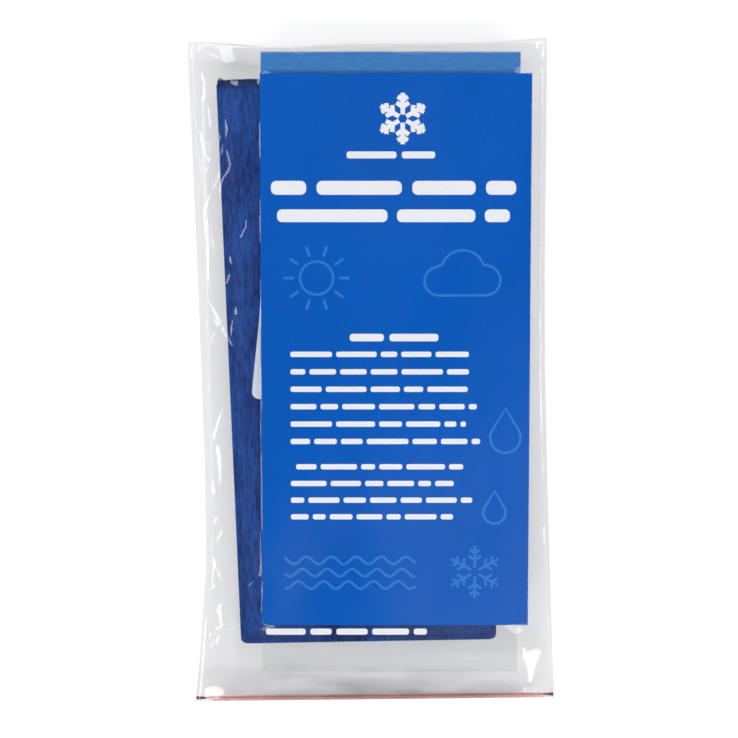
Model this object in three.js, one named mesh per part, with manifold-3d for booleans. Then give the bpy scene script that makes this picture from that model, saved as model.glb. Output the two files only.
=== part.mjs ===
// A soft cooling case for insulin pens, packed flat in a clear grip-seal bag with its leaflet and a sleeve.
// Millimetres. The pack lies on its back: +X to the right, +Y towards the bag's closed end, +Z up.
// The bag's mouth faces -Y and stands open round what it holds.

import * as THREE from 'three';
import { mergeVertices } from 'three/addons/utils/BufferGeometryUtils.js';
import Module from 'manifold-3d';

// Gaps
const seatGap = 0.1;
const seamGap = 0.3;
const slideGap = 0.3;

// Cooling case: outer cover of woven fabric, wider at its open mouth than at its closed end
const caseLength = 190.6;
const caseClosedWidth = 87;
const caseMouthWidth = 94.6;
const caseTilt = THREE.MathUtils.degToRad(1);
const caseX = -0.45;
const caseClosedEndY = -93.2;
const caseCornerRadius = 4;
const coverThickness = 0.7;
const coverSeamWidth = 2;
const coverSideRun = 9;
const coverEndRun = 12;
const edgingWidth = 1.4;
const edgingOverlap = 0.15;

// Hook-and-loop closure inside the mouth of the cover
const stripWidth = 50;
const stripHeight = 16;
const stripThickness = 0.4;
const stripInset = 4;
const stripCornerRadius = 1.5;

// Stitched-on label, set a little askew
const labelWidth = 42;
const labelHeight = 50;
const labelThickness = 0.2;
const labelCornerRadius = 2.4;
const labelTilt = THREE.MathUtils.degToRad(-7);
const labelFromLeft = 8.6;
const labelFromClosedEnd = 82;

// Inner pouch: two quilted walls of crystal-filled channels round the pen compartment
const pouchSideClearance = 3;
const pouchEndClearance = 3.2;
const pouchMouthSetback = 10.4;
const compartmentGap = 4.6;
const linerThickness = 0.3;
const channelCount = 5;
const fillEdgeShare = 0.2;
const crystalDepth = 0.9;
const fillGap = 0.15;
const pouchSeamWidth = 4;
const pouchSideRun = 8;
const pouchEndRun = 10;
const pouchEndTaper = 6;
const bindingThickness = 0.3;

// Leaflet folded once, with its fold on the left
const leafletWidth = 89.6;
const leafletLength = 184.5;
const leafletX = 8.5;
const leafletY = 6.25;
const paperThickness = 0.15;
const foldGap = 0.3;

// Clear sleeve of two films
const sleeveWidth = 86;
const sleeveLength = 208;
const sleeveX = 6.75;
const sleeveY = 1.75;
const sleeveFilmThickness = 0.1;
const sleeveGap = 0.2;

// Grip-seal bag
const bagFilmThickness = 0.15;
const bagWeldWidth = 1.6;
const bagWeldGap = 0.1;
const bagLeftMargin = 4.4;
const bagRightMargin = 5.3;
const bagEndMargin = 5.2;
const bagMouthMargin = 12.4;
const bagLipDraw = 4;
const bagLipDrawLength = 40;
const bagLeftSide = { waistAt: 0.24, mouthFlare: 4.4, endFlare: 5.2 };
const bagRightSide = { waistAt: 0.6, mouthFlare: 4.6, endFlare: 0.2 };
const bagFlarePower = 1.3;
const bagBaseInset = 8;
const bagMouthLiftLength = 14;
const zipRibHeight = 0.6;
const zipRibWidth = 0.5;
const zipGrooveHeight = 0.35;
const zipGrooveLip = 0.3;
const zipWebThickness = 0.12;
const zipFlankRun = 0.05;
const zipFitClearance = 0.1;
const zipLip = 0.7;
const zipEndClearance = 1.9;
const zipEndShare = 0.25;

// The groove is as wide as the rib with a clearance, between two lips; the rib's web has the same width.
const zipGrooveWidth = zipRibWidth + 2 * zipFitClearance;
const zipWidth = zipGrooveWidth + 2 * zipGrooveLip;

// Levels, from the surface the pack lies on upwards
const zipGrooveTop = bagFilmThickness + seatGap + zipGrooveHeight;
const coverUnderside = zipGrooveTop + slideGap + edgingOverlap;
const quiltDepth = 2 * linerThickness + 2 * fillGap + crystalDepth;
const pouchHalfDepth = compartmentGap / 2 + quiltDepth;
const coverInnerHalfDepth = pouchHalfDepth + slideGap + stripThickness + seatGap;
const coverHalfDepth = coverInnerHalfDepth + coverThickness;
const caseMiddle = coverUnderside + coverHalfDepth;
const labelUnderside = caseMiddle + coverHalfDepth + seatGap;
const sleeveUnderside = labelUnderside + labelThickness + slideGap;
const sleeveDepth = 2 * sleeveFilmThickness + sleeveGap;
const leafletUnderside = sleeveUnderside + sleeveDepth + slideGap;
const leafletDepth = 2 * paperThickness + foldGap;
const bagFrontLevel = leafletUnderside + leafletDepth + slideGap;
const bagMouthLift = zipRibHeight + seatGap;

// Materials
const finish = (color, roughness, extra = {}) =>
  new THREE.MeshStandardMaterial({ color, roughness, metalness: 0, ...extra });
const clearFilm = finish(0xe4e6e8, 0.15, { transparent: true, opacity: 0.3 });
const zipPlastic = finish(0xa8323c, 0.3);
const coverFabric = finish(0x28487e, 0.9);
const thread = finish(0x1c2f58, 0.9);
const closureTape = finish(0x1d2a48, 0.95);
const linerFabric = finish(0xe8edf2, 0.85);
const bindingTape = finish(0x2c4a86, 0.85);
const crystals = finish(0xd8e4ea, 0.4);
const leafletPaper = finish(0x0254b7, 0.25);
const labelCloth = finish(0xdfe6ef, 0.6);

const wasm = await Module();
wasm.setup();

function toManifold(geometry) {
  const bare = geometry.clone();
  bare.deleteAttribute('normal');
  bare.deleteAttribute('uv');
  const merged = mergeVertices(bare, 1e-4);
  return new wasm.Manifold(new wasm.Mesh({
    numProp: 3,
    vertProperties: new Float32Array(merged.attributes.position.array),
    triVerts: new Uint32Array(merged.index.array),
  }));
}

function fromManifold(solid) {
  const { vertProperties, triVerts } = solid.getMesh();
  const geometry = new THREE.BufferGeometry();
  geometry.setAttribute('position', new THREE.BufferAttribute(vertProperties, 3));
  geometry.setIndex(new THREE.BufferAttribute(triVerts, 1));
  geometry.computeVertexNormals();
  return geometry;
}

function named(name, geometry, material) {
  const mesh = new THREE.Mesh(geometry, material);
  mesh.name = name;
  return mesh;
}

function evenSteps(start, end, count) {
  return Array.from({ length: count + 1 }, (_, i) => start + ((end - start) * i) / count);
}

// How far up its climb a sheet is at a share of its run, rounding over at the top.
function climb(share) {
  return Math.sin((Math.PI / 2) * THREE.MathUtils.clamp(share, 0, 1));
}

const none = () => 0;

// A pillow wall: flat along its seam, climbing from there to a level middle. It is a height over the plan
// between two side outlines. Its closed end climbs as the sides do, and its mouth stays open.
// On each row, climbs gives the x at which each side leaves its seam and the x at which it is level.
// Where the wall is raised, draw pulls its points in from the mouth.
function pillowWall({ left, right, climbs, endSeam, endTop, seamLevel, rise, lift = none, draw = none }) {
  return {
    left,
    right,
    point(x, y) {
      const { leftSeam, leftTop, rightSeam, rightTop } = climbs(y);
      const side = Math.min(
        climb((x - leftSeam) / (leftTop - leftSeam)),
        climb((rightSeam - x) / (rightSeam - rightTop)),
      );
      const end = climb((y - endSeam) / (endTop - endSeam));
      const share = Math.min(side, end);
      return new THREE.Vector3(x, y + side * draw(y), seamLevel + share * (rise + lift(y)));
    },
  };
}

// Distance over which a wall's slope is measured.
const normalStep = 0.5;

// A closed layer of a wall, between two offsets from it. Columns give x from a row's two outlines.
// Offsets are measured square to the wall, upwards on a front wall and downwards on a back one.
function layer(wall, columns, rows, from, to, outward) {
  const placeOf = (column, y) => ({ x: column(wall.left(y), wall.right(y)), y });
  const places = rows.flatMap((y) => columns.map((column) => placeOf(column, y)));
  const lastRow = rows.length - 1;
  const lastColumn = columns.length - 1;
  const normalAt = ({ x, y }) => {
    const across = wall.point(x + normalStep, y).sub(wall.point(x - normalStep, y));
    const along = wall.point(x, y + normalStep).sub(wall.point(x, y - normalStep));
    return across.cross(along).normalize().multiplyScalar(outward);
  };
  const valueAt = (offset, place) => (typeof offset === 'function' ? offset(place.x, place.y) : offset);
  const positions = [];
  for (const offset of [from, to]) {
    for (const place of places) {
      const point = wall.point(place.x, place.y);
      positions.push(...point.addScaledVector(normalAt(place), valueAt(offset, place)));
    }
  }
  const width = columns.length;
  const half = rows.length * width;
  const indices = [];
  const quad = (a, b, c, d) => indices.push(a, b, c, a, c, d);
  for (let i = 0; i < lastRow; i += 1) {
    for (let j = 0; j < lastColumn; j += 1) {
      const a = i * width + j;
      quad(half + a, half + a + 1, half + a + width + 1, half + a + width);
      quad(a, a + width, a + width + 1, a + 1);
    }
  }
  for (let j = 0; j < lastColumn; j += 1) {
    const top = lastRow * width + j;
    quad(j, j + 1, half + j + 1, half + j);
    quad(top + 1, top, half + top, half + top + 1);
  }
  for (let i = 0; i < lastRow; i += 1) {
    const first = i * width;
    const last = first + lastColumn;
    quad(first + width, first, half + first, half + first + width);
    quad(last, last + width, half + last + width, half + last);
  }
  const risingRows = rows[lastRow] > rows[0];
  if (risingRows !== outward > 0) {
    indices.reverse();
  }
  const geometry = new THREE.BufferGeometry();
  geometry.setAttribute('position', new THREE.Float32BufferAttribute(positions, 3));
  geometry.setIndex(indices);
  geometry.computeVertexNormals();
  return geometry;
}

function roundedRectangle(width, height, radius) {
  const x = width / 2;
  const y = height / 2;
  const shape = new THREE.Shape();
  shape.moveTo(-x + radius, -y);
  shape.lineTo(x - radius, -y);
  shape.absarc(x - radius, -y + radius, radius, -Math.PI / 2, 0);
  shape.lineTo(x, y - radius);
  shape.absarc(x - radius, y - radius, radius, 0, Math.PI / 2);
  shape.lineTo(-x + radius, y);
  shape.absarc(-x + radius, y - radius, radius, Math.PI / 2, Math.PI);
  shape.lineTo(-x, -y + radius);
  shape.absarc(-x + radius, -y + radius, radius, Math.PI, 1.5 * Math.PI);
  return shape;
}

function plate(shape, thickness, underside) {
  const settings = { depth: thickness, bevelEnabled: false, curveSegments: 5 };
  return new THREE.ExtrudeGeometry(shape, settings).translate(0, 0, underside);
}

const fromLeft = (inset) => (left) => left + inset;
const fromRight = (inset) => (left, right) => right - inset;
const between = (share, margin) => (left, right) => left + margin + (right - left - 2 * margin) * share;

// The case stands in its own frame: x across, y from the closed end to the mouth, z from its middle.
const caseGroup = new THREE.Group();
caseGroup.position.set(caseX, caseClosedEndY, caseMiddle);
caseGroup.rotation.z = caseTilt;

function coverOutline(y) {
  const share = y / caseLength;
  const halfWidth = THREE.MathUtils.lerp(caseClosedWidth, caseMouthWidth, share) / 2;
  const intoCorner = THREE.MathUtils.clamp(caseCornerRadius - y, 0, caseCornerRadius);
  const cornerCut = caseCornerRadius - Math.sqrt(caseCornerRadius ** 2 - intoCorner ** 2);
  return halfWidth - cornerCut;
}

function coverWall(side) {
  return pillowWall({
    left: (y) => -coverOutline(y),
    right: coverOutline,
    climbs: (y) => ({
      leftSeam: -coverOutline(y) + coverSeamWidth,
      leftTop: -coverOutline(y) + coverSeamWidth + coverSideRun,
      rightSeam: coverOutline(y) - coverSeamWidth,
      rightTop: coverOutline(y) - coverSeamWidth - coverSideRun,
    }),
    endSeam: coverSeamWidth,
    endTop: coverSeamWidth + coverEndRun,
    seamLevel: (side * seamGap) / 2,
    rise: side * (coverInnerHalfDepth - seamGap / 2),
  });
}

const climbShares = [1 / 3, 2 / 3, 1];
const levelInset = 3;
const coverInsets = [
  0,
  coverSeamWidth,
  ...climbShares.map((share) => coverSeamWidth + share * coverSideRun),
  coverSeamWidth + coverSideRun + levelInset,
];
const coverColumns = [...coverInsets.map(fromLeft), ...coverInsets.toReversed().map(fromRight)];
const coverRows = [
  0,
  caseCornerRadius * 0.2,
  coverSeamWidth,
  caseCornerRadius,
  ...climbShares.map((share) => coverSeamWidth + share * coverEndRun),
  coverSeamWidth + coverEndRun + levelInset,
  caseLength - edgingWidth - seatGap,
];
const edgingRows = [caseLength - edgingWidth, caseLength];
const facings = { front: 1, back: -1 };

for (const [name, side] of Object.entries(facings)) {
  const wall = coverWall(side);
  const panel = layer(wall, coverColumns, coverRows, 0, coverThickness, side);
  const edging = layer(wall, coverColumns, edgingRows, -edgingOverlap, coverThickness + edgingOverlap, side);
  caseGroup.add(named(`cover_${name}_panel`, panel, coverFabric));
  caseGroup.add(named(`mouth_edging_${name}`, edging, thread));
}

// Hook strip under the front wall, loop strip on the back wall, face to face inside the mouth.
const stripShape = roundedRectangle(stripWidth, stripHeight, stripCornerRadius);
const stripMiddleY = caseLength - edgingWidth - stripInset - stripHeight / 2;
const stripFace = coverInnerHalfDepth - seatGap;
const hookStrip = plate(stripShape, stripThickness, stripFace - stripThickness).translate(0, stripMiddleY, 0);
const loopStrip = plate(stripShape, stripThickness, -stripFace).translate(0, stripMiddleY, 0);
caseGroup.add(named('hook_strip', hookStrip, closureTape));
caseGroup.add(named('loop_strip', loopStrip, closureTape));

const labelShape = roundedRectangle(labelWidth, labelHeight, labelCornerRadius);
const label = named('front_label', plate(labelShape, labelThickness, 0), labelCloth);
label.position.set(
  -caseClosedWidth / 2 + labelFromLeft + labelWidth / 2,
  labelFromClosedEnd + labelHeight / 2,
  labelUnderside - caseMiddle,
);
label.rotation.z = labelTilt;
caseGroup.add(label);

// Inner pouch: each wall is an inner liner, a row of crystal channels and an outer liner quilted over them.
const pouchStart = coverSeamWidth + pouchEndClearance;
const pouchEnd = caseLength - pouchMouthSetback;
const pouchHalfWidth = Math.min(caseClosedWidth, caseMouthWidth) / 2 - coverSeamWidth - pouchSideClearance;
const quiltHalfWidth = pouchHalfWidth - pouchSeamWidth;
const channelWidth = (2 * quiltHalfWidth) / channelCount;
const stitchOffset = linerThickness + 2 * fillGap;

function pouchWall(side) {
  return pillowWall({
    left: () => -pouchHalfWidth,
    right: () => pouchHalfWidth,
    climbs: () => ({
      leftSeam: -quiltHalfWidth,
      leftTop: -quiltHalfWidth + pouchSideRun,
      rightSeam: quiltHalfWidth,
      rightTop: quiltHalfWidth - pouchSideRun,
    }),
    endSeam: pouchStart + pouchSeamWidth,
    endTop: pouchStart + pouchSeamWidth + pouchEndRun,
    seamLevel: (side * seamGap) / 2,
    rise: (side * (compartmentGap - seamGap)) / 2,
  });
}

// Depth of the crystals in a channel: nothing at the stitch lines, most in the middle, fading at both ends.
function crystalBulge(x, y) {
  const inQuilt = THREE.MathUtils.clamp((x + quiltHalfWidth) / channelWidth, 0, channelCount);
  const acrossChannel = Math.sin(Math.PI * (inQuilt % 1));
  const fromEnds = Math.min(y - pouchStart - pouchSeamWidth, pouchEnd - y);
  return crystalDepth * acrossChannel * climb(fromEnds / pouchEndTaper);
}

const fillShares = [fillEdgeShare, 0.5, 1 - fillEdgeShare];
const channels = Array.from({ length: channelCount }, (_, i) => i);
const inChannel = (channel, share) => between((channel + share) / channelCount, pouchSeamWidth);
const quiltColumns = [
  fromLeft(0),
  ...channels.flatMap((channel) => [0, ...fillShares].map((share) => inChannel(channel, share))),
  fromRight(pouchSeamWidth),
  fromRight(0),
];
const quiltClimbRows = climbShares.map((share) => pouchStart + pouchSeamWidth + share * pouchEndRun);
const quiltRows = [
  pouchStart,
  pouchStart + pouchSeamWidth,
  ...quiltClimbRows,
  pouchEnd - pouchEndTaper,
  pouchEnd - pouchEndTaper / 2,
  pouchEnd,
];
const crystalRows = [
  ...quiltClimbRows,
  pouchEnd - pouchEndTaper,
  pouchEnd - pouchEndTaper / 2,
];

for (const [name, side] of Object.entries(facings)) {
  const wall = pouchWall(side);
  const outerFrom = (x, y) => stitchOffset + crystalBulge(x, y);
  const outerTo = (x, y) => outerFrom(x, y) + linerThickness;
  const inner = layer(wall, quiltColumns, quiltRows, 0, linerThickness, side);
  const outer = layer(wall, quiltColumns, quiltRows, outerFrom, outerTo, side);
  caseGroup.add(named(`liner_${name}_inner`, inner, linerFabric));
  caseGroup.add(named(`liner_${name}_outer`, outer, linerFabric));
  const fillFrom = linerThickness + fillGap;
  const fillTo = (x, y) => fillFrom + crystalBulge(x, y);
  for (const channel of channels) {
    const columns = fillShares.map((share) => inChannel(channel, share));
    const fill = layer(wall, columns, crystalRows, fillFrom, fillTo, side);
    caseGroup.add(named(`crystal_fill_${name}_${channel + 1}`, fill, crystals));
  }
}

// Tape folded over the pouch's three closed edges.
function openFrame(halfWidth, start, end, band) {
  const frame = new THREE.Shape();
  frame.moveTo(-halfWidth, start);
  frame.lineTo(halfWidth, start);
  frame.lineTo(halfWidth, end);
  frame.lineTo(halfWidth - band, end);
  frame.lineTo(halfWidth - band, start + band);
  frame.lineTo(-halfWidth + band, start + band);
  frame.lineTo(-halfWidth + band, end);
  frame.lineTo(-halfWidth, end);
  frame.closePath();
  return frame;
}

const seamHalfDepth = seamGap / 2 + stitchOffset + linerThickness;
const slotHalfDepth = seamHalfDepth + seatGap;
const tapeHalfDepth = slotHalfDepth + bindingThickness;
const tapeReach = seatGap + bindingThickness;
const tapeBand = pouchSeamWidth - seamGap + tapeReach;
const tapeShape = openFrame(pouchHalfWidth + tapeReach, pouchStart - tapeReach, pouchEnd, tapeBand);
const tape = plate(tapeShape, 2 * tapeHalfDepth, -tapeHalfDepth);
const slotPastEnd = 1;
const slotShape = openFrame(
  pouchHalfWidth + seatGap,
  pouchStart - seatGap,
  pouchEnd + slotPastEnd,
  pouchSeamWidth + slotPastEnd,
);
const slot = plate(slotShape, 2 * slotHalfDepth, -slotHalfDepth);
const binding = fromManifold(toManifold(tape).subtract(toManifold(slot)));
caseGroup.add(named('edge_binding', binding, bindingTape));

// Leaflet: a long fold on the left joins its two pages.
function leafletSection() {
  const section = new THREE.Shape();
  const fold = leafletDepth / 2;
  const innerFold = fold - paperThickness;
  section.moveTo(leafletWidth, 0);
  section.lineTo(leafletWidth, paperThickness);
  section.lineTo(fold, paperThickness);
  section.absarc(fold, fold, innerFold, 1.5 * Math.PI, Math.PI / 2, true);
  section.lineTo(leafletWidth, leafletDepth - paperThickness);
  section.lineTo(leafletWidth, leafletDepth);
  section.lineTo(fold, leafletDepth);
  section.absarc(fold, fold, fold, Math.PI / 2, 1.5 * Math.PI);
  section.closePath();
  return section;
}

const leafletSheet = new THREE.ExtrudeGeometry(leafletSection(), {
  depth: leafletLength,
  bevelEnabled: false,
  curveSegments: 6,
});
leafletSheet.rotateX(Math.PI / 2);
const leaflet = named('leaflet', leafletSheet, leafletPaper);
leaflet.position.set(leafletX - leafletWidth / 2, leafletY + leafletLength / 2, leafletUnderside);

// Sleeve: two clear films.
const sleeveShape = roundedRectangle(sleeveWidth, sleeveLength, 1);
const sleeveFrontUnderside = sleeveUnderside + sleeveFilmThickness + sleeveGap;
const sleeveBack = plate(sleeveShape, sleeveFilmThickness, sleeveUnderside);
const sleeveFront = plate(sleeveShape, sleeveFilmThickness, sleeveFrontUnderside);
const sleeveGroup = new THREE.Group();
sleeveGroup.position.set(sleeveX, sleeveY, 0);
sleeveGroup.add(named('sleeve_back_film', sleeveBack, clearFilm));
sleeveGroup.add(named('sleeve_front_film', sleeveFront, clearFilm));

// Reach of what the bag holds, which sets the bag's outline.
function casePoint(x, y) {
  const point = new THREE.Vector2(x, y).rotateAround(new THREE.Vector2(), caseTilt);
  return point.add(new THREE.Vector2(caseX, caseClosedEndY));
}

const caseCorners = [
  casePoint(-caseClosedWidth / 2, 0),
  casePoint(caseClosedWidth / 2, 0),
  casePoint(-caseMouthWidth / 2, caseLength),
  casePoint(caseMouthWidth / 2, caseLength),
];
const caseReach = new THREE.Box2().setFromPoints(caseCorners);
const rectangleReach = (x, y, width, length) =>
  new THREE.Box2().setFromCenterAndSize(new THREE.Vector2(x, y), new THREE.Vector2(width, length));
const sheetReach = rectangleReach(leafletX, leafletY, leafletWidth, leafletLength)
  .union(rectangleReach(sleeveX, sleeveY, sleeveWidth, sleeveLength));
const reach = caseReach.clone().union(sheetReach);

// Bag: its sides draw in to a waist and flare to the corners.
const bagEndY = reach.max.y + bagEndMargin;
const bagMouthY = reach.min.y - bagMouthMargin;

function sideFlare(y, { waistAt, mouthFlare, endFlare }) {
  const share = (y - bagMouthY) / (bagEndY - bagMouthY);
  const towardsMouth = Math.max(0, 1 - share / waistAt);
  const towardsEnd = Math.max(0, (share - waistAt) / (1 - waistAt));
  return mouthFlare * towardsMouth ** bagFlarePower + endFlare * towardsEnd ** bagFlarePower;
}

const bagLeft = (y) => reach.min.x - bagLeftMargin - sideFlare(y, bagLeftSide);
const bagRight = (y) => reach.max.x + bagRightMargin + sideFlare(y, bagRightSide);
const bagSeamLevel = caseMiddle;
const mouthLift = (y) => bagMouthLift * climb(1 - (y - bagMouthY) / bagMouthLiftLength);

// The gaping front lip is drawn in from the mouth where it stands high, and not at its corners.
function mouthDraw(y) {
  const share = THREE.MathUtils.clamp(1 - (y - bagMouthY) / bagLipDrawLength, 0, 1);
  return bagLipDraw * share ** 2;
}

function bagWall(side, leftTop, rightTop, endTop, level, lift, draw) {
  const seamLevel = bagSeamLevel + (side * bagWeldGap) / 2;
  return pillowWall({
    left: bagLeft,
    right: bagRight,
    climbs: (y) => ({
      leftSeam: bagLeft(y) + bagWeldWidth,
      leftTop,
      rightSeam: bagRight(y) - bagWeldWidth,
      rightTop,
    }),
    endSeam: bagEndY - bagWeldWidth,
    endTop,
    seamLevel,
    rise: level - seamLevel,
    lift,
    draw,
  });
}

const frontLeftTop = sheetReach.min.x - slideGap;
const frontRightTop = sheetReach.max.x + slideGap;
const frontEndTop = sheetReach.max.y + slideGap;
const backLeftTop = caseReach.min.x + bagBaseInset;
const backRightTop = reach.max.x - bagBaseInset;
const backEndTop = caseReach.max.y + slideGap;
const frontWall = bagWall(1, frontLeftTop, frontRightTop, frontEndTop, bagFrontLevel, mouthLift, mouthDraw);
const backWall = bagWall(-1, backLeftTop, backRightTop, backEndTop, bagFilmThickness, none, none);

// Columns of a bag wall between its welds: up the climb to the level middle, and down the other side.
// The zip's ends stay off the welds, on a narrow climb by a share of it.
function bagColumns(leftTop, rightTop) {
  const zipEnd = (run) => Math.min(zipEndClearance, run * zipEndShare);
  const leftClimb = climbShares.map((share) => (left) => {
    const seam = left + bagWeldWidth;
    return seam + share * (leftTop - seam);
  });
  const rightClimb = climbShares.map((share) => (left, right) => {
    const seam = right - bagWeldWidth;
    return seam - share * (seam - rightTop);
  });
  return [
    (left) => left + bagWeldWidth + zipEnd(leftTop - left - bagWeldWidth),
    ...leftClimb,
    () => leftTop + levelInset,
    () => rightTop - levelInset,
    ...rightClimb.toReversed(),
    (left, right) => right - bagWeldWidth - zipEnd(right - bagWeldWidth - rightTop),
  ];
}

function filmColumns(leftTop, rightTop) {
  return [
    fromLeft(0),
    fromLeft(bagWeldWidth),
    ...bagColumns(leftTop, rightTop),
    fromRight(bagWeldWidth),
    fromRight(0),
  ];
}

function filmRows(endTop, mouthY) {
  const seam = bagEndY - bagWeldWidth;
  const climbRows = climbShares.map((share) => seam - share * (seam - endTop));
  const levelRows = evenSteps(endTop - levelInset, mouthY + bagMouthLiftLength, 6);
  const liftRow = mouthY + bagMouthLiftLength / 2;
  return [bagEndY, seam, ...climbRows, ...levelRows, liftRow, ...zipEdges(mouthY), mouthY];
}

const zipMiddle = (mouthY) => mouthY + zipLip + zipWidth / 2;
const zipEdges = (mouthY) => [zipMiddle(mouthY) + zipWidth / 2, zipMiddle(mouthY) - zipWidth / 2];

// Rows of a zip profile, from its inner edge to its outer one, with a steep flank on each side of its middle.
function zipRows(mouthY, middleWidth) {
  const halfWidths = [zipWidth / 2, middleWidth / 2 + zipFlankRun, middleWidth / 2];
  const offsets = [...halfWidths, ...halfWidths.map((width) => -width).toReversed()];
  return offsets.map((offset) => zipMiddle(mouthY) + offset);
}

// Depth of a zip profile below its film: one value in its middle, another beside it.
function zipDepth(mouthY, middleWidth, middleDepth, sideDepth) {
  return (x, y) => {
    const inMiddle = Math.abs(y - zipMiddle(mouthY)) < (middleWidth + zipFlankRun) / 2;
    return -seatGap - (inMiddle ? middleDepth : sideDepth);
  };
}

const frontFilm = layer(
  frontWall,
  filmColumns(frontLeftTop, frontRightTop),
  filmRows(frontEndTop, bagMouthY),
  0,
  bagFilmThickness,
  1,
);
const backFilm = layer(
  backWall,
  filmColumns(backLeftTop, backRightTop),
  filmRows(backEndTop, bagMouthY),
  0,
  bagFilmThickness,
  -1,
);
const zipRib = layer(
  frontWall,
  bagColumns(frontLeftTop, frontRightTop),
  zipRows(bagMouthY, zipRibWidth),
  zipDepth(bagMouthY, zipRibWidth, zipRibHeight, zipWebThickness),
  -seatGap,
  1,
);
const zipGroove = layer(
  backWall,
  bagColumns(backLeftTop, backRightTop),
  zipRows(bagMouthY, zipGrooveWidth),
  zipDepth(bagMouthY, zipGrooveWidth, zipWebThickness, zipGrooveHeight),
  -seatGap,
  -1,
);

const pack = new THREE.Group();
pack.add(named('bag_back_film', backFilm, clearFilm));
pack.add(named('bag_front_film', frontFilm, clearFilm));
pack.add(named('zip_groove', zipGroove, zipPlastic));
pack.add(named('zip_rib', zipRib, zipPlastic));
pack.add(caseGroup, sleeveGroup, leaflet);

// The origin is under the middle of the bag.
const widest = Math.max(bagRight(bagMouthY), bagRight(bagEndY));
const leftmost = Math.min(bagLeft(bagMouthY), bagLeft(bagEndY));
pack.position.set(-(leftmost + widest) / 2, -(bagEndY + bagMouthY) / 2, 0);

const object = new THREE.Group();
object.add(pack);

export default object;
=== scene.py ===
"""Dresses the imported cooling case: clear bag, leaflet, sleeve, cloth cover and quilted pouch."""
import math

import bpy
import numpy as np
from mathutils import Matrix, Vector
from mathutils.bvhtree import BVHTree


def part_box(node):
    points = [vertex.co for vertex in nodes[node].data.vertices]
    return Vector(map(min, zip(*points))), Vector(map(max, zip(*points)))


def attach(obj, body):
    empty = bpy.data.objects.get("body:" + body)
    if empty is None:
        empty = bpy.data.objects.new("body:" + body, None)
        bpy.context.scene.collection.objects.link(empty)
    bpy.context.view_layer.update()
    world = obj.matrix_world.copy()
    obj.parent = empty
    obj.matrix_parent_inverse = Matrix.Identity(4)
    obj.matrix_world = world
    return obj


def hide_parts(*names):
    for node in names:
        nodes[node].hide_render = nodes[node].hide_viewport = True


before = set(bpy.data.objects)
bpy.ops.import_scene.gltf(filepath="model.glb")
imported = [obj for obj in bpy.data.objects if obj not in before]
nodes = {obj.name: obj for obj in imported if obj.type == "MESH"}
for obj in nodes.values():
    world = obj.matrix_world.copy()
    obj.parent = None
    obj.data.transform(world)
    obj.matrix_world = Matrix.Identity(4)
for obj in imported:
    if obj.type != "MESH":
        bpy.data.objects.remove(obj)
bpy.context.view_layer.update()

MM = 0.001
scene = bpy.context.scene


def corners(node):
    """The lowest and highest corner of a CAD node, in millimetres."""
    low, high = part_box(node)
    return np.array(low) / MM, np.array(high) / MM


def add_object(name, data):
    made = bpy.data.objects.new(name, data)
    scene.collection.objects.link(made)
    return made


# Camera

AIM = np.array([-1.6, 2.0, 7.0])
CAMERA_DISTANCE = 650
CAMERA_TILT = math.radians(5.5)
LENS = 94.1
SENSOR = 36
NEAREST_SEEN = 0.01


def make_camera():
    data = bpy.data.cameras.new("camera")
    data.lens = LENS
    data.sensor_width = SENSOR
    data.clip_start = NEAREST_SEEN
    camera = add_object("camera", data)
    back = Vector((0, math.sin(CAMERA_TILT), math.cos(CAMERA_TILT)))
    place = Vector(AIM * MM) + back * CAMERA_DISTANCE * MM
    camera.matrix_world = Matrix.Translation(place) @ Matrix.Rotation(-CAMERA_TILT, 4, "X")
    scene.camera = camera


make_camera()


# Materials

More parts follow.
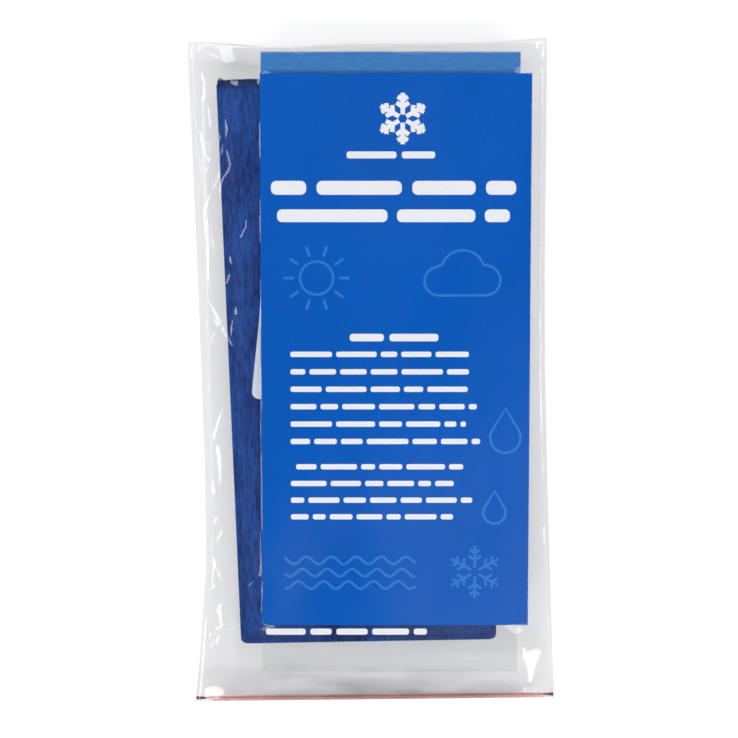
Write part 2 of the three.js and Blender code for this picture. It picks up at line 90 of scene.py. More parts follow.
class Shader:
    """Builds the node tree of a material or of the world."""

    def __init__(self, owner):
        self.owner = owner
        owner.use_nodes = True
        self.tree = owner.node_tree
        self.tree.nodes.clear()

    def add(self, kind, inputs=None, **settings):
        """The outputs of a new node. Each of its inputs takes a value or another node's output."""
        node = self.tree.nodes.new(kind)
        for name, value in settings.items():
            setattr(node, name, value)
        for name, value in (inputs or {}).items():
            if isinstance(value, bpy.types.NodeSocket):
                self.tree.links.new(value, node.inputs[name])
            else:
                node.inputs[name].default_value = value
        return node.outputs

    def where(self, kind="Object"):
        """Coordinates, in metres where they are the object's."""
        return self.add("ShaderNodeTexCoord")[kind]

    def axes(self, kind="Object"):
        return self.add("ShaderNodeSeparateXYZ", {0: self.where(kind)})

    def noise(self, scale, detail=3, stretch=(1, 1, 1), roughness=0.5):
        """Noise over the object, at a scale per metre that is stretched along each axis."""
        where = self.add("ShaderNodeMapping", {"Vector": self.where(), "Scale": stretch})["Vector"]
        return self.add("ShaderNodeTexNoise", {
            "Vector": where, "Scale": scale, "Detail": detail, "Roughness": roughness})["Fac"]

    def ramp(self, value, low, high, to_low=0.0, to_high=1.0):
        return self.add("ShaderNodeMapRange", {
            "Value": value, "From Min": low, "From Max": high, "To Min": to_low, "To Max": to_high})["Result"]

    def math(self, operation, first, second=0.0):
        return self.add("ShaderNodeMath", {0: first, 1: second}, operation=operation)[0]

    def total(self, first, share, second, other=1.0):
        """The sum of two values, each times its share."""
        return self.math("ADD", self.math("MULTIPLY", first, share), self.math("MULTIPLY", second, other))

    def colours(self, amount, first, second):
        return self.add("ShaderNodeMix", {0: amount, 6: first, 7: second}, data_type="RGBA")[2]

    def mix(self, amount, first, second):
        return self.add("ShaderNodeMixShader", {0: amount, 1: first, 2: second})[0]

    def bump(self, height, distance, strength):
        return self.add("ShaderNodeBump", {
            "Height": height, "Distance": distance, "Strength": strength})["Normal"]

    def principled(self, **inputs):
        return self.add("ShaderNodeBsdfPrincipled", {
            name.replace("_", " "): value for name, value in inputs.items()})[0]

    def seen(self):
        """1 for what is seen directly, in a mirror or through glass, and 0 for light that bounces."""
        path = self.add("ShaderNodeLightPath")
        direct = self.math("MAXIMUM", path["Is Camera Ray"], path["Is Glossy Ray"])
        return self.math("MAXIMUM", direct, path["Is Transmission Ray"])

    def finish(self, surface, output="ShaderNodeOutputMaterial"):
        self.add(output, {"Surface": surface})
        return self.owner


def material_shader(name):
    return Shader(bpy.data.materials.new(name))


def colour(*parts):
    """A colour given as it shows on a screen, 0 to 255, as linear light."""
    shares = [part / 255 for part in parts]
    return (*(s / 12.92 if s <= 0.04045 else ((s + 0.055) / 1.055) ** 2.4 for s in shares), 1.0)


def darker(shade, share):
    return (*(share * part for part in shade[:3]), 1.0)


WHITE = (1, 1, 1, 1)
MIRRORED = (0.018, 0.6)
MIRROR_POWER = 5.0
# Painted shade: a grey band on the bag's film just above the zip, fading out away from it and darkest in the
# middle.
MOUTH_PAINTED_SHADE = (0.74, 0.74, 0.745, 1)
MOUTH_SHADE_FADE = (-0.108, -0.098)
MOUTH_SHADE_SIDES = (0.03, 0.056)
SCUFF_COLOUR = (0.9, 0.9, 0.92, 1)
SCUFF_SHARE = 0.014
SCUFF_FADE = (-0.09, 0.03)
FAINT = 0.2


def film_material(name, straight, slanted, roughness, is_bag):
    """Clear film, which dims at a slant. The bag's is scuffed, and has a grey band of painted shade along its
    mouth.
    """
    shader = material_shader(name)
    slant = shader.add("ShaderNodeLayerWeight", {"Blend": 0.5})["Facing"]
    clear = shader.colours(slant, straight, slanted)
    if is_bag:
        # Painted shade: near the mouth the film's clear tint greys unevenly, most in the middle of the mouth.
        axes = shader.axes()
        uneven = shader.ramp(shader.noise(70, 3, (0.3, 1.2, 1)), 0.4, 0.62, 0.3)
        inward = shader.ramp(shader.math("ABSOLUTE", axes[0]), *MOUTH_SHADE_SIDES, 1.0, FAINT)
        near = shader.math("MULTIPLY", shader.ramp(axes[1], *MOUTH_SHADE_FADE, 1.0, 0.0), inward)
        clear = shader.colours(shader.math("MULTIPLY", near, uneven), clear, MOUTH_PAINTED_SHADE)
    through = shader.add("ShaderNodeBsdfTransparent", {"Color": clear})[0]
    if is_bag:
        scuffs = shader.ramp(shader.noise(26, 4, (1, 0.5, 1)), 0.42, 0.72, 0.0, SCUFF_SHARE)
        handled = shader.ramp(axes[1], *SCUFF_FADE, 1.0, FAINT)
        dull = shader.add("ShaderNodeBsdfDiffuse", {"Color": SCUFF_COLOUR})[0]
        through = shader.mix(shader.math("MULTIPLY", scuffs, handled), through, dull)
    haze = shader.ramp(shader.noise(160, 4), 0.3, 0.7, roughness * 0.7, roughness * 1.4)
    gloss = shader.add("ShaderNodeBsdfGlossy", {"Color": WHITE, "Roughness": haze})[0]
    mirrored = shader.ramp(shader.math("POWER", slant, MIRROR_POWER), 0.0, 1.0, *MIRRORED)
    return shader.finish(shader.mix(mirrored, through, gloss))


def tinted_plastic(name, shade, cover, roughness):
    """Thin coloured plastic that lets part of the light straight through."""
    shader = material_shader(name)
    cloud = shader.noise(220, 3, (1, 3, 1))
    base = shader.colours(cloud, darker(shade, 0.88), shade)
    body = shader.principled(Base_Color=base, Roughness=roughness)
    through = shader.add("ShaderNodeBsdfTransparent", {"Color": WHITE})[0]
    amount = shader.ramp(cloud, 0.3, 0.7, cover * 0.9, min(1.0, cover * 1.1))
    return shader.finish(shader.mix(amount, through, body))


def cloth_material(name, dark, light, grain, weave, sheen=0.15, depth=0.0002):
    """Woven cloth with slubs along its length: grain and weave are per metre."""
    shader = material_shader(name)
    slub = shader.noise(grain, 4, (1, 0.22, 1), 0.6)
    cloud = shader.noise(grain * 0.12, 3, (1, 0.35, 1))
    fine = shader.noise(weave, 2, (1, 0.4, 1))
    tone = shader.ramp(shader.total(slub, 0.6, cloud, 0.4), 0.36, 0.64)
    return shader.finish(shader.principled(
        Base_Color=shader.colours(tone, dark, light), Roughness=0.82, Sheen_Weight=sheen,
        Normal=shader.bump(shader.total(fine, 0.5, slub), depth, 0.7), Specular_IOR_Level=0.25))


def weave_material(name, dark, light, pitch, sheen=0.1):
    """Plain weave: threads cross over and under at the given pitch in metres."""
    shader = material_shader(name)
    axes = shader.axes()
    turns = 2 * math.pi / pitch
    across, along = (shader.math("SINE", shader.math("MULTIPLY", axes[k], turns)) for k in (0, 1))
    height = shader.math("MULTIPLY", across, along)
    # The tone is random noise plus the weave's height, so painted shade darkens the weave's hollows.
    tone = shader.ramp(shader.total(height, 0.25, shader.noise(60)), 0.2, 0.8)
    return shader.finish(shader.principled(
        Base_Color=shader.colours(tone, dark, light), Roughness=0.75, Sheen_Weight=sheen,
        Normal=shader.bump(height, pitch * 0.12, 0.6), Specular_IOR_Level=0.3))


def grained_material(name, shade, grain, roughness, low=0.9, depth=0.00002, shine=0.3):
    """Print, paper or thread: one colour with a fine grain in its tone, gloss and surface."""
    shader = material_shader(name)
    fine = shader.noise(grain, 4)
    tone = shader.ramp(shader.total(fine, 0.5, shader.noise(30, 2), 0.5), 0.35, 0.65)
    return shader.finish(shader.principled(
        Base_Color=shader.colours(tone, darker(shade, low), shade),
        Roughness=shader.ramp(fine, 0.3, 0.7, roughness * 0.85, roughness * 1.15),
        Normal=shader.bump(fine, depth, 0.5), Specular_IOR_Level=shine))


NAVY_DARK = colour(4, 40, 104)
NAVY_LIGHT = colour(34, 84, 168)
BLUE_PRINT = colour(0, 96, 197)
WHITE_PRINT = colour(249, 251, 255)
PALE_PRINT = colour(46, 128, 214)
BAND_PRINT = colour(66, 140, 212)
ZIP_PINK = colour(240, 172, 168)
ZIP_RED = colour(226, 100, 98)
ZIP_DARK = colour(140, 34, 44)

BAG_FILM = film_material("bag_film", (0.954, 0.954, 0.956, 1), (0.91, 0.91, 0.92, 1), 0.05, True)
SLEEVE_FILM = film_material("sleeve_film", (0.987, 0.989, 0.991, 1), (0.94, 0.943, 0.948, 1), 0.12, False)
SLEEVE_BAND = tinted_plastic("sleeve_band", BAND_PRINT, 0.88, 0.3)
ZIP_WEB = tinted_plastic("zip_web", ZIP_PINK, 0.22, 0.25)
ZIP_CORE = tinted_plastic("zip_core", ZIP_RED, 0.52, 0.25)
ZIP_CRUSHED = tinted_plastic("zip_crushed", ZIP_DARK, 0.85, 0.3)
COVER_CLOTH = cloth_material("cover_cloth", NAVY_DARK, NAVY_LIGHT, 900, 2600)
COVER_THREAD = grained_material("cover_thread", colour(40, 68, 128), 2600, 0.6, 0.6, 0.0001)
CLOSURE_TAPE = grained_material("closure_tape", colour(30, 42, 72), 3000, 0.8, 0.6, 0.0002)
LINER_CLOTH = weave_material("liner_cloth", colour(190, 200, 213), colour(220, 227, 236), 0.0011)
LINER_THREAD = grained_material("liner_thread", colour(226, 232, 240), 2600, 0.6, 0.8, 0.0001)
BINDING_TAPE = weave_material("binding_tape", colour(34, 60, 112), colour(56, 92, 156), 0.0009)
CRYSTALS = grained_material("crystals", colour(222, 234, 240), 1400, 0.3, 0.7, 0.0008)
LABEL_CLOTH = weave_material("label_cloth", colour(214, 223, 236), colour(238, 243, 250), 0.0007, 0.3)
LEAFLET_PAPER = grained_material("leaflet_paper", BLUE_PRINT, 700, 0.42, shine=0.1)
PAPER_EDGE = grained_material("paper_edge", colour(150, 186, 226), 900, 0.7)
LEAFLET_WHITE = grained_material("leaflet_white", WHITE_PRINT, 900, 0.4, 0.95)
LEAFLET_PALE = grained_material("leaflet_pale", PALE_PRINT, 900, 0.4, 0.93)
SLEEVE_WHITE = grained_material("sleeve_white", WHITE_PRINT, 900, 0.4, 0.95)


# Meshes

SHARP_ANGLE = math.radians(70)
TINY = 1e-12
STITCH_RINGS = 5
STITCH_SIDES = 6
FAR = 100.0
NOISE_CELLS = 64


def add_mesh(name, points, faces, *materials, smooth=True, material_of=None):
    """A mesh piece from points in millimetres."""
    mesh = bpy.data.meshes.new(name)
    mesh.from_pydata((np.asarray(points, float).reshape(-1, 3) * MM).tolist(), [], faces)
    mesh.polygons.foreach_set("use_smooth", [smooth] * len(mesh.polygons))
    for material in materials:
        mesh.materials.append(material)
    if material_of is not None:
        mesh.polygons.foreach_set("material_index", material_of)
    mesh.update()
    mesh.set_sharp_from_angle(angle=SHARP_ANGLE)
    return add_object(name, mesh)


def unit(vectors):
    return vectors / np.maximum(np.linalg.norm(vectors, axis=-1, keepdims=True), TINY)


def pointing(turn):
    """The unit vector at an angle in x and y."""
    return np.array([math.cos(turn), math.sin(turn)])


def to_left(way):
    """Vectors in x and y, turned a quarter to the left."""
    return np.stack([-way[..., 1], way[..., 0]], axis=-1)


def distances(path):
    """How far along a path each of its points lies."""
    return np.concatenate([[0], np.cumsum(np.linalg.norm(np.diff(path, axis=0), axis=1))])


def arc(x, y, radius, first=0, last=360, count=28):
    """Points about a middle, from one angle to another in degrees."""
    turns = np.radians(np.linspace(first, last, count))
    return [(x + radius * math.cos(t), y + radius * math.sin(t)) for t in turns]


def quads(index):
    """Faces between the neighbours in a table of point numbers."""
    return np.stack([index[:-1, :-1], index[:-1, 1:], index[1:, 1:], index[1:, :-1]], axis=-1).reshape(-1, 4)


def grid_shell(name, upper, lower, *materials):
    """A closed piece between an upper and a lower grid of points. Its rim has the last material."""
    rows, columns = upper.shape[:2]
    count = rows * columns
    index = np.arange(count).reshape(rows, columns)
    border = np.concatenate([index[0, :], index[1:, -1], index[-1, -2::-1], index[-2:0:-1, 0]])
    following = np.roll(border, -1)
    sides = np.stack([border, border + count, following + count, following], axis=-1)
    faces = np.concatenate([quads(index), quads(index + count)[:, ::-1], sides])
    material_of = [0] * (len(faces) - len(sides)) + [len(materials) - 1] * len(sides)
    return add_mesh(name, [upper, lower], faces.tolist(), *materials, material_of=material_of)


def thin_sheet(name, middle, thickness, *materials):
    """A closed thin piece of even thickness about a grid of points, columns along +X and rows along +Y."""
    half = unit(np.cross(np.gradient(middle, axis=1), np.gradient(middle, axis=0))) * thickness / 2
    return grid_shell(name, middle + half, middle - half, *materials)


def tubes(name, parts, material, smooth=True, flip=False):
    """Tubes of rings of points, each given with whether it closes into a ring or has two ends."""
    points = []
    faces = []
    for rings, closed in parts:
        index = len(points) + np.arange(rings.size // 3).reshape(rings.shape[:2])
        ends = [] if closed else [index[0, ::-1].tolist(), index[-1].tolist()]
        index = np.concatenate([index, index[:, :1]], axis=1)
        if closed:
            index = np.concatenate([index, index[:1]])
        faces += quads(index).tolist() + ends
        points += rings.reshape(-1, 3).tolist()
    if flip:
        faces = [face[::-1] for face in faces]
    return add_mesh(name, points, faces, material, smooth=smooth)


def prisms(name, outlines, low, high, material):
    """Flat pieces: closed outlines in x and y, counter-clockwise, each between two levels."""
    parts = [(np.array([[(x, y, level) for x, y in outline] for level in (high, low)]), False)
             for outline in outlines]
    return tubes(name, parts, material, smooth=False, flip=True)


def strokes(name, paths, width, low, high, material):
    """Drawn lines: each path is (points, closed, sunk) in x and y, as a flat strip between two levels."""
    parts = []
    for path, closed, sunk in paths:
        line = np.array(path, float)
        way = np.roll(line, -1, 0) - np.roll(line, 1, 0) if closed else np.gradient(line, axis=0)
        side = to_left(unit(way)) * width / 2
        rings = [[(*left, high - sunk), (*right, high - sunk), (*right, low), (*left, low)]
                 for left, right in zip(line + side, line - side)]
        parts.append((np.array(rings), closed))
    return tubes(name, parts, material, smooth=False)


def swept_bar(name, path, towards, profile, material):
    """A bar along a path: profile points are (along +Y, towards the given side) at each path point."""
    way = unit(np.gradient(path, axis=0))
    aside = unit(np.array([0, 1.0, 0]) - way * way[:, 1:2])
    normal = np.cross(way, aside) * towards
    rings = np.stack([path + a * aside + b * normal for a, b in profile], axis=1)
    return tubes(name, [(rings, False)], material, flip=towards < 0)


def stitches(name, paths, length, gap, radius, material, up=1):
    """Sewing stitches: short rounded lengths of thread along paths of points."""
    bulge = radius * (0.35 + 0.65 * np.sin(np.pi * (np.arange(STITCH_RINGS) + 0.5) / STITCH_RINGS))
    turns = 2 * np.pi * np.arange(STITCH_SIDES) / STITCH_SIDES
    parts = []
    for path in paths:
        line = np.array(path, float)
        travelled = distances(line)
        start = gap / 2
        while start + length < travelled[-1]:
            place = np.linspace(start, start + length, STITCH_RINGS)
            middle = np.stack([np.interp(place, travelled, line[:, k]) for k in range(3)], axis=1)
            way = unit(middle[-1] - middle[0])
            aside = unit(np.cross(way, (0, 0, up)))
            ring = np.outer(np.cos(turns), aside) + np.outer(np.sin(turns), np.cross(aside, way))
            parts.append((middle[:, None] + bulge[:, None, None] * ring, False))
            start += length + gap
    return tubes(name, parts, material, flip=True)


def threads(name, paths, radius, material):
    """Loose or looped thread as round curves."""
    curve = bpy.data.curves.new(name, "CURVE")
    curve.dimensions = "3D"
    curve.bevel_depth = radius * MM
    curve.bevel_resolution = 1
    curve.use_fill_caps = True
    for path in paths:
        spline = curve.splines.new("POLY")
        spline.points.add(len(path) - 1)
        for point, place in zip(spline.points, path):
            point.co = (*(np.array(place) * MM), 1)
    curve.materials.append(material)
    return add_object(name, curve)


def rounded_bar(left, bottom, width, height, radius, steps=4):
    """The outline of a bar with round corners, counter-clockwise."""
    near, far = left + radius, left + width - radius
    low, high = bottom + radius, bottom + height - radius
    outline = []
    for x, y, first in [(far, low, -90), (far, high, 0), (near, high, 90), (near, low, 180)]:
        outline += arc(x, y, radius, first, first + 90, steps + 1)
    return outline


def turned(u, v, turn, middle):
    """Places that are turned by an angle and moved to a middle."""
    return (middle[0] + u * math.cos(turn) - v * math.sin(turn),
            middle[1] + u * math.sin(turn) + v * math.cos(turn))


def turned_bar(size, radius, turn, middle, steps=4):
    """The outline of a bar with round corners, about its middle and turned."""
    outline = rounded_bar(-size[0] / 2, -size[1] / 2, *size, radius, steps)
    return [turned(u, v, turn, middle) for u, v in outline]


def along_y(section, low, high, rows):
    """Grids of x, y and z: a section in x and z, repeated from one y to another."""
    y = np.linspace(low, high, rows)[:, None] + 0 * section[None, :, 0]
    return section[None, :, 0] + 0 * y, y, section[None, :, 1] + 0 * y


def heights(names, x, y, missing, upward=False):
    """Heights of the highest of these CAD nodes over a grid of x and y, or of the lowest seen from below."""
    points = []
    faces = []
    for name in names:
        mesh = nodes[name].data
        start = len(points)
        points += [v.co / MM for v in mesh.vertices]
        faces += [[start + i for i in p.vertices] for p in mesh.polygons]
    tree = BVHTree.FromPolygons(points, faces)
    level = -FAR if upward else FAR
    way = Vector((0, 0, 1 if upward else -1))
    found = [tree.ray_cast(Vector((a, b, level)), way)[0] for a, b in zip(x.ravel(), y.ravel())]
    return np.array([missing if hit is None else hit.z for hit in found]).reshape(x.shape)


def neighbour_mean(values):
    return 0.25 * (np.roll(values, 1, 0) + np.roll(values, -1, 0)
                   + np.roll(values, 1, 1) + np.roll(values, -1, 1))


def blur(values, rounds, held=False):
    """Evens out a grid of values, leaving its border and held points as they are."""
    still = np.ones(values.shape, bool)
    still[1:-1, 1:-1] = False
    still = still | held
    for _ in range(rounds):
        values = np.where(still, values, 0.5 * (neighbour_mean(values) + values))
    return values


def smooth_noise(x, y, cell, seed):
    """Seeded noise from -1 to 1 over a plane, smooth over cells of the given size."""
    size = NOISE_CELLS
    table = np.random.default_rng(seed).uniform(-1, 1, (size, size))
    u = np.asarray(x) / cell + size * 8
    v = np.asarray(y) / cell + size * 8
    i = np.floor(u).astype(int)
    j = np.floor(v).astype(int)
    a = (u - i) ** 2 * (3 - 2 * (u - i))
    b = (v - j) ** 2 * (3 - 2 * (v - j))

    def row(k):
        return table[i % size, k % size] * (1 - a) + table[(i + 1) % size, k % size] * a

    return row(j) * (1 - b) + row(j + 1) * b


def dress(piece, body, slot, *replaced):
    """Rides a piece on a body and hides the CAD nodes it stands for. The finish it is given is not used."""
    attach(piece, body)
    if replaced:
        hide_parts(*replaced)
    return piece


# Bag films

FILM_THICKNESS = 0.12
SEAM_WIDTH = 1.6
FILM_CLEARANCE = 0.24
BACK_CLEARANCE = 0.6
TABLE_GAP = 0.02
FILM_PULL = 0.0006
HANG_ROUNDS = 900
HANG_COLUMNS = 150
HANG_ROWS = 270
FINE_LEFT = (0.21, 96)
FINE_RIGHT = (0.09, 40)
FINE_MIDDLE = 36
FINE_ROWS = 400
BACK_COLUMNS = 110
BACK_ROWS = 200
CONTENTS = ["leaflet", "sleeve_front_film", "cover_front_panel", "mouth_edging_front", "front_label"]
MM_PER_PIXEL = 0.337
AIM_PIXEL = (373.8, 375.0)
FILM_RIPPLE = 0.05
CREASE_SEED = 11
CREASE_BOW = 0.12
CREASE_MARGIN = 4
CREASE_ENDS = (0.04, 0.96)


def ridge(x, y, path, height, width):
    """A crease along a path: a sharp ridge that fades towards both ends."""
    path = np.array(path, float)
    travelled = distances(path)
    nearest = np.full(x.shape, FAR)
    place = np.zeros(x.shape)
    for i, (start, end) in enumerate(zip(path[:-1], path[1:])):
        line = end - start
        share = ((x - start[0]) * line[0] + (y - start[1]) * line[1]) / max(line @ line, TINY)
        share = np.clip(share, 0, 1)
        distance = np.hypot(x - start[0] - share * line[0], y - start[1] - share * line[1])
        closer = distance < nearest
        nearest = np.where(closer, distance, nearest)
        place = np.where(closer, travelled[i] + share * (travelled[i + 1] - travelled[i]), place)
    fade = np.sin(np.pi * np.clip(place / travelled[-1], *CREASE_ENDS)) ** 0.6
    return height * fade * np.exp(-nearest / width)


def random_creases(rng, count, x_range, y_range, angle, length, height, width):
    """Creases at seeded places in a field of the film, mostly along one angle."""
    made = []
    for _ in range(count):
        middle = np.array([rng.uniform(*x_range), rng.uniform(*y_range)])
        way = pointing(math.radians(angle[0] + rng.normal(0, angle[1])))
        half = rng.uniform(*length) / 2
        bow = to_left(way) * rng.normal(0, CREASE_BOW) * half
        size = rng.uniform(*height) * rng.choice([1, 1, -1])
        made.append(([middle - way * half, middle + bow, middle + way * half], size, rng.uniform(*width)))
    return made


# Fields along the left, the right, the closed end and the mouth: how many creases, where in x and y, their
# angle with its spread in degrees, and the least and most of their length, height and width.
CREASE_FIELDS = [
    (60, (-61, -52), (-92, 108), (90, 24), (6, 34), (0.1, 0.4), (0.5, 1.1)),
    (44, (53, 61), (-92, 108), (90, 18), (6, 34), (0.1, 0.35), (0.5, 1.0)),
    (20, (-60, 58), (101, 111), (90, 30), (4, 12), (0.06, 0.2), (0.7, 1.5)),
    (20, (-58, 58), (-107, -93), (15, 25), (8, 34), (0.03, 0.1), (0.9, 2.0)),
]

# Creases that the camera's picture shows: their height, their width and the pixels they go through.
SEEN_CREASES = [
    (0.9, 1.0, [(193, 132), (199, 152), (206, 172), (203, 183), (199, 200), (199, 221)]),
    (0.7, 0.9, [(206, 172), (212, 168), (218, 165)]),
    (0.9, 1.1, [(209, 142), (212, 152), (216, 160)]),
    (0.34, 0.45, [(225, 143), (230, 152), (234, 165), (232, 173), (226, 180), (224, 187), (222, 198)]),
    (0.34, 0.6, [(228, 120), (231, 130), (228, 143)]),
    (0.3, 0.5, [(222, 133), (224, 140), (220, 149)]),
    (0.3, 0.45, [(226, 145), (225, 155), (219, 164)]),
    (0.7, 0.9, [(215, 519), (217, 524), (220, 530)]),
    (0.2, 0.6, [(208, 578), (214, 591), (225, 598), (237, 597), (249, 588), (261, 574)]),
    (0.7, 0.8, [(206, 634), (214, 643), (220, 631), (237, 629)]),
    (0.4, 0.6, [(208, 657), (213, 645), (221, 634)]),
    (0.5, 0.8, [(201, 676), (208, 671)]),
    (0.3, 0.6, [(526, 131), (528, 145), (530, 168), (532, 197)]),
    (0.5, 0.7, [(536, 60), (538, 110), (536, 160), (539, 215)]),
    (-0.5, 0.6, [(541, 50), (540, 100), (543, 150), (541, 200)]),
    (0.5, 0.9, [(189, 45), (195, 60), (200, 82)]),
    (0.25, 0.5, [(249, 216), (249, 228), (243, 239), (234, 246)]),
    (0.3, 0.5, [(232, 256), (234, 261), (236, 264)]),
    (0.3, 0.6, [(228, 284), (231, 279), (233, 272)]),
    (0.3, 0.6, [(238, 306), (239, 311), (238, 315)]),
    (0.25, 0.5, [(231, 338), (233, 334), (235, 318)]),
    (0.8, 0.9, [(206, 208), (211, 222), (215, 238), (217, 252)]),
    (0.7, 0.8, [(198, 205), (200, 222), (202, 260), (203, 300), (204, 345)]),
]


def seen_at(pixels):
    """A path on the bag from places in the camera's picture."""
    return [((px - AIM_PIXEL[0]) * MM_PER_PIXEL, (AIM_PIXEL[1] - py) * MM_PER_PIXEL) for px, py in pixels]


def film_creases(x, y):
    """The crinkles of the front film, as heights to add to its hanging shape."""
    rng = np.random.default_rng(CREASE_SEED)
    creases = [(seen_at(pixels), height, width) for height, width, pixels in SEEN_CREASES]
    for field in CREASE_FIELDS:
        creases += random_creases(rng, *field)
    total = FILM_RIPPLE * smooth_noise(x, y, cell=9, seed=3)
    for crease in creases:
        total += ridge(x, y, *crease)
    return total


def hang(height, floor, fixed):
    """A film that hangs under its own weight over what lies in it, with its edges held."""
    for _ in range(HANG_ROUNDS):
        height = np.where(fixed, height, np.maximum(neighbour_mean(height) - FILM_PULL, floor))
    return height


END_HALF = 62
END_DROP = 1.7
END_RISE_FROM = 0.8
END_HOLLOW = (1.6, 0.24, 0.11)
END_SAG = 0.8


def end_dip(x):
    """How far the bag's closed end dips below its highest corner, the right one."""
    across = np.clip((x + END_HALF) / (2 * END_HALF), 0, 1)
    risen = np.clip((across - END_RISE_FROM) / (1 - END_RISE_FROM), 0, 1) ** 1.3
    depth, place, width = END_HOLLOW
    hollow = depth * np.exp(-((across - place) / width) ** 2) + END_SAG * np.sin(np.pi * across) ** 2
    return END_DROP * (1 - risen) + hollow


def rows_of(values, gap=0.25):
    """Groups of places whose values lie together, from the lowest up."""
    order = np.argsort(values)
    breaks = np.nonzero(np.diff(values[order]) > gap)[0] + 1
    return np.split(order, breaks)


LIP_LEFT = -112.45
LIP_RISE = 1.35
LIP_LEAN = 0.27
LIP_SEARCH = (0.02, 6, 0.1)
WELD_LEVEL = 0.2
INSIDE = 0.3


def side_edges(node, seam):
    """The left and right edges of a bag film as functions of y, from its welds at the seam's level."""
    points = np.array([v.co for v in nodes[node].data.vertices]) / MM
    points = points[np.abs(points[:, 2] - seam) < WELD_LEVEL]
    rows = rows_of(points[:, 1])
    left = np.array([points[row, 0].min() for row in rows])
    right = np.array([points[row, 0].max() for row in rows])
    middle = np.array([points[row, 1].mean() for row in rows])
    return (lambda y: np.interp(y, middle, left)), (lambda y: np.interp(y, middle, right))


def lip_edge(node, x):
    """The y at which a CAD film starts at its mouth, at each x."""
    lowest = corners(node)[0][1]
    steps = lowest + np.arange(*LIP_SEARCH)
    found = heights([node], *np.meshgrid(x, steps), -FAR) > -FAR
    return np.where(found.any(axis=0), steps[found.argmax(axis=0)], lowest)


def bag_grid(node, seam, across, along):
    """Places in x and y over a bag film, from its mouth to its closed end, and the y kept inside its node.
    Both lips lean with their height, so that they lie on one straight line seen from the camera."""
    low, high = corners(node)
    left, right = side_edges(node, seam)
    mouth_x = left(low[1]) + (right(low[1]) - left(low[1])) * across
    inside_x = np.clip(mouth_x, mouth_x[0] + INSIDE, mouth_x[-1] - INSIDE)
    cad_lip = lip_edge(node, inside_x)
    lip_height = heights([node], inside_x, cad_lip + INSIDE, seam)
    lip = (LIP_LEFT + LIP_RISE * across + LIP_LEAN * (lip_height - seam))[None, :]
    y = lip + (high[1] - lip) * along[:, None]
    x = left(y) + (right(y) - left(y)) * across
    y = lip + (high[1] - end_dip(x) - lip) * along[:, None]
    return x, y, np.clip(y, cad_lip[None, :] + INSIDE, y[-1:, :] - INSIDE)


def side_gap(x):
    """The distance of each point of a bag film from its nearer side."""
    return np.minimum(x - x[:, :1], x[:, -1:] - x)


def weld_mask(x, y):
    """Points in the welds of a bag film."""
    return (side_gap(x) < SEAM_WIDTH) | (y[-1:, :] - y < SEAM_WIDTH)


def front_places(across, along):
    """Places over the front film, its welds, its CAD node's level, and the floor under which it can't sink:
    its welds, the back film and what lies in the bag."""
    weld = corners("bag_front_film")[0][2]
    x, y, inside_y = bag_grid("bag_front_film", weld, across, along)
    welded = weld_mask(x, y)
    level = heights(["bag_front_film"], x, inside_y, weld + FILM_THICKNESS) - FILM_THICKNESS / 2
    under = heights(["bag_back_film"], x, y, 0.0) + BACK_CLEARANCE
    contents = np.maximum(heights(CONTENTS, x, y, -FAR) + FILM_CLEARANCE, under)
    return x, y, welded, level, np.where(welded, weld + FILM_THICKNESS / 2, contents)


def hung_film():
    """Heights of the front film as it hangs, over an even grid."""
    places = front_places(np.linspace(0, 1, HANG_COLUMNS), np.linspace(0, 1, HANG_ROWS))
    welded, level, floor = places[2:]
    start = np.where(welded, floor, np.maximum(level, floor))
    fixed = welded.copy()
    fixed[:3, :] = True
    return hang(start, floor, fixed)


def resampled(rows, places):
    """Rows of a table at fractional places, along smooth curves through its rows."""
    i = np.clip(np.floor(places).astype(int), 0, len(rows) - 2)
    share = (places - i)[:, None]
    before, here, after = rows[np.maximum(i - 1, 0)], rows[i], rows[i + 1]
    later = rows[np.minimum(i + 2, len(rows) - 1)]
    bend = 2 * before - 5 * here + 4 * after - later + share * (3 * (here - after) + later - before)
    return here + 0.5 * share * (after - before + share * bend)


def eased(gap, start):
    """Rises from 0 to 1 over a margin inside an edge."""
    return np.clip(gap / CREASE_MARGIN - start, 0, 1)


def front_film_grid():
    """The front film: as it hangs, with its creases, on a grid that is fine where it isn't flat."""
    left, left_count = FINE_LEFT
    right, right_count = FINE_RIGHT
    across = np.concatenate([
        np.linspace(0, left, left_count)[:-1], np.linspace(left, 1 - right, FINE_MIDDLE)[:-1],
        np.linspace(1 - right, 1, right_count)])
    along = np.linspace(0, 1, FINE_ROWS)
    x, y, _, _, floor = front_places(across, along)
    hung = resampled(resampled(hung_film(), along * (HANG_ROWS - 1)).T, across * (HANG_COLUMNS - 1)).T
    free = eased(side_gap(x), 0.3) * eased(y[-1:, :] - y, 0.3) * eased(y - y[:1, :], 0.5)
    return np.stack([x, y, np.maximum(hung + film_creases(x, y) * free, floor)], axis=2)


def back_film_grid():
    weld = corners("bag_back_film")[1][2]
    across, along = np.linspace(0, 1, BACK_COLUMNS), np.linspace(0, 1, BACK_ROWS)
    x, y, inside_y = bag_grid("bag_back_film", weld, across, along)
    cad = heights(["bag_back_film"], x, inside_y, weld)
    welded = weld_mask(x, y)
    level = np.where(welded, weld, cad) - FILM_THICKNESS / 2
    level = np.maximum(blur(level, rounds=4, held=welded), FILM_THICKNESS / 2 + TABLE_GAP)
    return np.stack([x, y, level], axis=2)


front_grid = front_film_grid()
back_grid = back_film_grid()
bag_front = thin_sheet("bag_front", front_grid, FILM_THICKNESS, BAG_FILM)
bag_back = thin_sheet("bag_back", back_grid, FILM_THICKNESS, BAG_FILM)
dress(bag_front, "bag", "bag_film", "bag_front_film")
dress(bag_back, "bag", "bag_film", "bag_back_film")


# Zip

